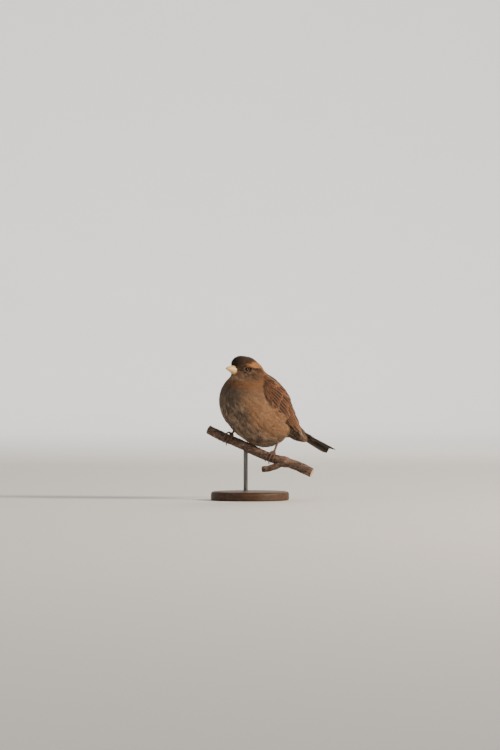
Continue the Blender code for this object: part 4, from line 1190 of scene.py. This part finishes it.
for side, sheet in wing_sheets.items():
    for group, (templates, slot, rows) in wing_groups.items():
        rows = np.array(rows)
        rows[:, 0:4] += rng.normal(0, 0.004, (len(rows), 4))
        if group != "primaries":
            rows[:, 2] += rng.normal(0, 0.012, len(rows))
            rows[:, 17] *= rng.uniform(0.75, 1.2, len(rows))
        net, ways = sheet.feathers(rows[:, :7])
        if group in ("scapulars", "lesser_coverts"):
            laid, out, _ = nearest(coat_tree, net.reshape(-1, 3))
            net = laid.reshape(net.shape)
            ways = out.reshape(net.shape)[:, :, 1]
        if side == "right":
            net = net[:, :, ::-1]
        stand, centre, edge, tip = rows[:, 7] * mm, rows[:, 8:11], rows[:, 11:14], rows[:, 14:17]
        fringe, tipped = rows[:, 17], rows[:, 18]
        vary = 1 + 0.08 * rng.standard_normal(len(rows))

        def wing_rise(s, t, lift, k):
            ridge = 0.25 * mm * lift * np.abs(t) if group == "lesser_coverts" else SHAFT * lift
            return stand[k] - SINK * (1 - np.clip(s, 0, 1) ** 0.6) - TUCK * t * SIDES[side] + ridge - CUP * t**2

        def wing_colour(s, t, k):
            rim = np.abs(t)
            margin = smooth_step(1 - fringe[k] - 0.10, 1 - fringe[k] + 0.10, rim + 0.25 * s**4)
            end = smooth_step(1 - 0.5 * tipped[k] - 0.06, 1 - 0.5 * tipped[k] + 0.05, s)
            tone = mixed(centre[k], edge[k], margin)
            tone = mixed(tone, tip[k], end * (0.10 + 0.90 * smooth_step(0.15, 0.50, rim)))
            return mixed(tone, SOOT, smooth_step(0.06, 0.0, rim) * 0.7) * vary[k][..., None]

        middles, cell = atlas(len(rows))
        mesh = feather_mesh(f"{group}_{side}", templates, net, ways, wing_rise, wing_colour, middles, cell)
        piece = add_piece(f"{group}_{side}", mesh, quill_paint)
        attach(piece, "root")
        if group not in ("lesser_coverts", "scapulars"):
            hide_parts(f"wing_{side}_{group}")

# ---- tail ------------------------------------------------------------------------------------------------
# Twelve stiff dark tail feathers, rooted in the rump and closed like a fan: the middle pair lies on top,
# and each next one shows its paler outer edge.
TAIL_LENGTH, TAIL_WIDTH, TAIL_NOTCH = 56.0, 17.0, 3.0
TAIL_START, ROOT_HALF, VANE_HALF = 1.0, 4.0, 2.6  # where the feathers start, and half widths
LEAN = math.radians(8)  # of the outermost pair
TOP_STAND, RANK_STEP, PAIR_STEP = 0.55 * mm, 0.17 * mm, 0.02 * mm  # the top pair's height, and the steps below it
tail_net, tail_ways, tail_stand = [], [], []
up = world_way(TAIL, (0.0, 0.0, 1.0))
for rank in range(6):
    for sign in (-1, 1):
        place = sign * (rank + 0.5) / 6
        line = []
        for s in STATIONS:
            half = ROOT_HALF + (TAIL_WIDTH / 2 - ROOT_HALF) * s**0.8
            end = TAIL_NOTCH * (1 - abs(place)) ** 1.3
            x = TAIL_START + (TAIL_LENGTH - TAIL_START - end) * s
            y = place * half * 0.86
            roof = 1.0 - 0.10 * place * place * half
            lean = LEAN * place * abs(place)
            for offset in (-VANE_HALF, 0.0, VANE_HALF):
                reach = offset * (0.55 + 0.45 * s)
                spot = (x, y + reach * math.cos(lean), roof - reach * math.sin(lean) * (reach * place > 0))
                line.append(np.array(TAIL @ (Vector(spot) * mm)))
        tail_net.append(np.array(line).reshape(4, 3, 3))
        tail_ways.append(np.tile(up, (4, 1)))
        tail_stand.append(TOP_STAND - RANK_STEP * rank + PAIR_STEP * sign)
tail_net, tail_ways, tail_stand = np.array(tail_net), np.array(tail_ways), np.array(tail_stand)
tail_vary = 1 + 0.08 * rng.standard_normal(12)
edge_side = np.array([sign for _ in range(6) for sign in (-1, 1)])


def tail_rise(s, t, lift, k):
    return tail_stand[k] + SHAFT * (lift - t**2 - t * edge_side[k])


def tail_colour(s, t, k):
    rim = np.abs(t)
    outer = t * edge_side[k] > 0
    tone = mixed(SOOT * 1.5, DRAB, smooth_step(0.72, 0.92, rim) * (0.35 + 0.65 * outer))
    return mixed(tone, DRAB, 0.7 * outer * (k >= 10)) * tail_vary[k][..., None]


middles, cell = atlas(12)
mesh = feather_mesh("tail_feathers", quills, tail_net, tail_ways, tail_rise, tail_colour, middles, cell)
tail_piece = add_piece("tail_feathers", mesh, quill_paint)
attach(tail_piece, "root")
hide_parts("tail")

# ---- eyes ------------------------------------------------------------------------------------------------
# Glass eyes, dark brown with a black pupil. Thin bare lids lie over each ball, and the smallest feathers of
# the bird stand round them as a pale ring.
EYE_RADIUS = 3.02 * mm
LID_OUTER, LID_INNER = 3.30 * mm, 3.08 * mm
LID_OPENING = 41.5  # degrees from the eye's axis
LID_WIDE, LID_TALL = 1.05, 0.95
RING_RADIUS, RING_COUNT = 3.36, 56  # where the ring's feathers are rooted, and how many are in each tier
RING_TIERS = ((47, 3.15), (52, 3.45), (57, 3.80), (63, 4.15))  # their roots' angles and their tips' reach


def eye_place(sign):
    """A frame on an eye's middle whose z axis looks out of the head."""
    out = Vector((0.16, sign, 0.10)).normalized()
    up = out.cross(Vector((1.0, 0.0, 0.0))).normalized() * sign
    ahead = up.cross(out).normalized() * sign
    turn = Matrix((ahead, up, out)).transposed().to_4x4()
    return HEAD @ Matrix.Translation(EYE * (1, sign, 1) * mm) @ turn


def ball_arc(radius, start, stop, count):
    """(radius, height) points along a ball's outline, between two angles from its axis."""
    return [(radius * math.sin(a), radius * math.cos(a)) for a in np.radians(np.linspace(start, stop, count))]


def straight(starts, ends):
    """Each feather's values at its stations, going evenly from its start to its end."""
    steps = STATIONS[None, :, None]
    return starts[:, None] * (1 - steps) + ends[:, None] * steps


eye_paint = Paint("glass_eye", Roughness=0.10, Specular_IOR_Level=0.20)
eye_tone = eye_paint.attribute("iris", "Fac")
flecks = eye_paint.noise(eye_paint.place(scale=(3000.0, 3000.0, 3000.0)), 1.0)
iris = eye_paint.blend(flecks, (0.011, 0.005, 0.003), (0.028, 0.013, 0.006))
eye_paint.drive(Base_Color=eye_paint.blend(eye_tone.above(0.47, 0.53), (0.003, 0.002, 0.002), iris))
lid_paint = Paint("eyelid_skin", Roughness=0.55)
lid_grain = lid_paint.noise(lid_paint.place(scale=(2600.0, 2600.0, 2600.0)), 1.0)
lid_paint.drive(Base_Color=lid_paint.blend(lid_grain, (0.036, 0.026, 0.020), (0.085, 0.062, 0.047)))
lid_paint.bump(lid_grain, 0.0001, 0.5)
ring_roots, ring_tips, ring_lift = [], [], []
for side, sign in SIDES.items():
    place = eye_place(sign)
    bm = bmesh.new()
    bmesh.ops.create_uvsphere(bm, u_segments=40, v_segments=24, radius=EYE_RADIUS)
    ball = to_mesh(bm, f"eyeball_{side}")
    spots = coordinates(ball)
    number_points(ball, "iris", np.linalg.norm(spots[:, :2], axis=1) / EYE_RADIUS)
    ball.transform(place)
    eyeball = add_piece(f"eyeball_{side}", ball, eye_paint)
    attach(eyeball, "root")
    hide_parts(f"eye_{side}")

    a = math.radians(LID_OPENING)
    edge = (3.22 * mm * math.sin(a), 3.26 * mm * math.cos(a))
    inside = ball_arc(LID_INNER, LID_OPENING, LID_OPENING + 48, 4)
    lids = turned([*ball_arc(LID_OUTER, 100, LID_OPENING + 3, 7), edge, *inside], 48, f"eyelids_{side}")
    lids.transform(place @ Matrix.Diagonal((LID_WIDE, LID_TALL, 1.0, 1.0)))
    eyelids = add_piece(f"eyelids_{side}", lids, lid_paint)
    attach(eyelids, "root")
    for tier, (angle, reach) in enumerate(RING_TIERS):
        for k in range(RING_COUNT):
            a, b = math.tau * (k + 0.5 * (tier % 2)) / RING_COUNT, math.radians(angle)
            x, y = math.cos(a) * LID_WIDE, math.sin(a)
            root = Vector((x * math.sin(b), y * math.sin(b) * LID_TALL, math.cos(b))) * RING_RADIUS
            tip = Vector((x * reach - 0.2, y * reach * 0.97, 2.3))
            ring_roots.append(np.array(place @ (root * mm)))
            ring_tips.append(np.array(place @ (tip * mm)))
            ring_lift.append(0.24 - 0.05 * tier)
ring_roots = np.array(ring_roots)
ring_tips, ring_out, _ = nearest(coat_tree, np.array(ring_tips))
ring_tips = ring_tips + ring_out * (np.array(ring_lift) * mm)[:, None]
ring_path = straight(ring_roots, ring_tips)
ring_ways = unit(ring_path - np.repeat(eyes, len(ring_roots) // 2, axis=0)[:, None])
ring_net = spread_net(ring_path, ring_ways, np.full(len(ring_roots), 0.26 * mm), None)
ring_head = local(HEAD, ring_tips)
about = np.arctan2(ring_head[:, 2] - EYE[2], ring_head[:, 0] - EYE[0])
pale_part = smooth_step(0.9, -0.1, np.sin(about - 0.5)) * 0.85 + 0.1
ring_tone = mixed(mixed(plumage(ring_tips), DRAB, 0.3), CREAM, 0.50 * pale_part)
ring_tone = ring_tone * (1 + 0.1 * rng.standard_normal(len(ring_tips)))[:, None]


def ring_rise(s, t, lift, k):
    return 0.05 * mm + 0.10 * mm * s + 0.03 * mm * lift - 0.04 * mm * t**2


shortest = [vane_template(5, 0.3, 0.4, 0.8, seed + 90) for seed in range(3)]
# painted shade: each eye-ring feather darker towards its root, which lies under its neighbours
mesh = feather_mesh(
    "eye_ring_feathers", shortest, ring_net, ring_ways, ring_rise,
    lambda s, t, k: ring_tone[k] * (0.9 + 0.15 * s)[..., None], patches(ring_roots),
)
eye_ring = add_piece("eye_ring_feathers", mesh, coat_paint)
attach(eye_ring, "root")

# ---- bill ------------------------------------------------------------------------------------------------
# A short cone of horn in two mandibles: straw-coloured and browner towards the tip. The nostrils open at
# the root of the upper one, half under the bristles of the forehead.
BILL_TIP, BILL_LENGTH = (21.0, -1.1), 12.6
MANDIBLES = {  # half width, then height: at the root, the power by which it tapers, and at the tip
    "upper_mandible": ((4.45, 0.62, 0.14), (5.4, 0.61, 0.14)),
    "lower_mandible": ((4.40, 0.75, 0.10), (4.3, 0.93, 0.10)),
}
NOSTRIL_AT, NOSTRIL_SIZE = (10.6, 1.05), (0.95, 0.55)  # as (x, z)
EDGE_COUNT = 76  # feathers in each tier round the bill
EDGE_TIERS = ((8.0, 9.9), (8.7, 10.5), (9.4, 11.1))  # where their roots and their tips are


def mandible(name, upper, stations=22, sides=20):
    """One mandible: a half ring drawn out station by station from root to tip, and closed at both ends."""
    way = 1 if upper else -1
    bm = bmesh.new()
    bmesh.ops.create_circle(bm, segments=sides, radius=1.0)
    ring = sorted(bm.verts, key=lambda v: math.atan2(v.co.y, v.co.x) % math.tau)
    rings = [ring]
    for _ in range(stations - 1):
        edges = [bm.edges.get((a, b)) for a, b in zip(rings[-1], rings[-1][1:] + rings[-1][:1])]
        made = bmesh.ops.extrude_edge_only(bm, edges=edges)["geom"]
        new = [v for v in made if isinstance(v, bmesh.types.BMVert)]
        ring = [min(new, key=lambda v: (v.co - old.co).length) for old in rings[-1]]
        rings.append(ring)
        for vert in ring:
            vert.co.z = len(rings)
    for index, ring in enumerate(rings):
        back = max((1 - index / (stations - 1)) ** 1.35, 0.0005) * 1.10
        hooked = 0.35 * max(0.25 - back, 0) ** 1.2 if upper else 0.0
        seam = BILL_TIP[1] - 0.9 * min(back, 1.1) ** 1.6 - hooked
        wide, deep = (root * back**taper + tip for root, taper, tip in MANDIBLES[name])
        for k, vert in enumerate(ring):
            a = math.tau * k / sides
            y, z = math.cos(a) * wide, math.sin(a)
            if z > 0:
                z = deep * z ** (0.92 if upper else 0.85)
                y *= 1 - 0.10 * (z / deep) ** 2
            else:
                z = 0.32 * z * (0.3 + back)
            vert.co = ((BILL_TIP[0] - BILL_LENGTH * back) * mm, y * mm, (seam + way * (0.05 + z)) * mm)
    for ring in (rings[0], rings[-1]):
        bm.faces.new(ring)
    bmesh.ops.recalc_face_normals(bm, faces=bm.faces)
    mesh = to_mesh(bm, name)
    mesh = evaluated(mesh, ("SUBSURF", {"levels": 2, "render_levels": 2}))
    spots = coordinates(mesh) / mm
    back = (BILL_TIP[0] - spots[:, 0]) / BILL_LENGTH
    if upper:  # nostrils
        off = (spots[:, (0, 2)] - NOSTRIL_AT) / NOSTRIL_SIZE
        pit = np.exp(-(off**2).sum(-1)) * (np.abs(spots[:, 1]) > 0.8)
        spots[:, 1] -= np.sign(spots[:, 1]) * 0.75 * pit
        spots[:, 2] -= 0.25 * pit
    else:
        pit = np.zeros(len(spots))
    mesh.vertices.foreach_set("co", (spots * mm).ravel())
    number_points(mesh, "nostril", pit)
    number_points(mesh, "back", back)
    mesh.transform(HEAD)
    return mesh


horn = Paint("bill_horn", Coat_Weight=0.2, Coat_Roughness=0.3)
back, pit = horn.attribute("back", "Fac"), horn.attribute("nostril", "Fac")
streak = horn.noise(horn.place(scale=(260.0, 900.0, 900.0), turn=(0.0, 0.0, math.radians(4))), 1.0, 4.0)
tip_horn, root_horn = (0.0, (0.56, 0.33, 0.15)), (0.95, (0.72, 0.45, 0.13))
tone = horn.ramp(back, tip_horn, (0.25, (0.76, 0.50, 0.22)), (0.6, (0.80, 0.55, 0.22)), root_horn)
worn = horn.blend(streak.above(0.35, 0.75) * 0.30, tone, (0.36, 0.22, 0.13))
# painted shade: the nostril pits darkened, as the shade inside the openings
horn.drive(Base_Color=horn.blend(pit.above(0.10, 0.75) * 0.9, worn, (0.085, 0.060, 0.022)))
horn.drive(Roughness=0.30 + 0.25 * streak)
horn.bump(streak, 0.00005, 0.5)
for name, upper in (("upper_mandible", True), ("lower_mandible", False)):
    piece = add_piece(name, mandible(name, upper), horn)
    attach(piece, "root")
    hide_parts("bill_upper" if upper else "bill_lower")

# the shortest feathers of the face stand round the root of the bill and lie forward over it
edge_starts, edge_ends = [], []
for tier, (start, reach) in enumerate(EDGE_TIERS):
    for k in range(EDGE_COUNT):
        a = math.tau * (k + 0.5 * (tier % 2)) / EDGE_COUNT
        edge_starts.append(np.array(HEAD @ (Vector((start, 6.0 * math.sin(a), 6.2 * math.cos(a) - 1.4)) * mm)))
        ahead = reach + rng.uniform(-0.3, 0.4)
        edge_ends.append(np.array(HEAD @ (Vector((ahead, 4.3 * math.sin(a), 4.6 * math.cos(a) - 1.4)) * mm)))
edge_starts, start_out, _ = nearest(coat_tree, np.array(edge_starts))
edge_ends, end_out, _ = nearest(bill_tree, np.array(edge_ends))
edge_starts = edge_starts - start_out * 0.15 * mm
edge_ends = edge_ends + end_out * 0.12 * mm
edge_path, edge_ways = straight(edge_starts, edge_ends), unit(straight(start_out, end_out))
edge_net = spread_net(edge_path, edge_ways, np.full(len(edge_path), 0.30 * mm), None)
edge_tone = plumage(edge_starts) * (1 + 0.12 * rng.standard_normal(len(edge_path)))[:, None]


def edge_rise(s, t, lift, k):
    return (0.32 * np.sin(np.pi * np.clip(s, 0, 1)) + 0.06 * lift - 0.05 * t**2) * mm


shortest = [vane_template(5, 0.3, 0.5, 0.9, seed + 110) for seed in range(3)]
# painted shade: each bill-edge feather darker towards its root, which lies under the feathers around it
mesh = feather_mesh(
    "bill_edge_feathers", shortest, edge_net, edge_ways, edge_rise,
    lambda s, t, k: edge_tone[k] * (0.85 + 0.2 * s)[..., None], patches(edge_starts),
)
bill_edge = add_piece("bill_edge_feathers", mesh, coat_paint)
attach(bill_edge, "root")

# ---- claws -----------------------------------------------------------------------------------------------
# Four curved claws of dark horn on each foot, with paler streaks. Each goes on from the last joint of its
# toe, and its point rests on the bark.
claw_paint = Paint("claw_horn", Roughness=0.32, Coat_Weight=0.3, Coat_Roughness=0.25)
grain = claw_paint.noise(claw_paint.place(scale=(1800.0, 1800.0, 1800.0)), 1.0, 3.0)
claw_paint.drive(Base_Color=claw_paint.blend(grain, (0.030, 0.018, 0.012), (0.12, 0.075, 0.05)))
claw_paint.bump(grain, 0.00005, 0.5)
for side in SIDES:
    for toe in ("inner", "middle", "outer", "hind"):
        node = f"claw_{side}_{toe}"
        mesh = evaluated(to_mesh(cad_copy(node), node), ("SUBSURF", {"levels": 2, "render_levels": 2}))
        piece = add_piece(f"horn_{node}", mesh, claw_paint)
        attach(piece, "root")
        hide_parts(node)
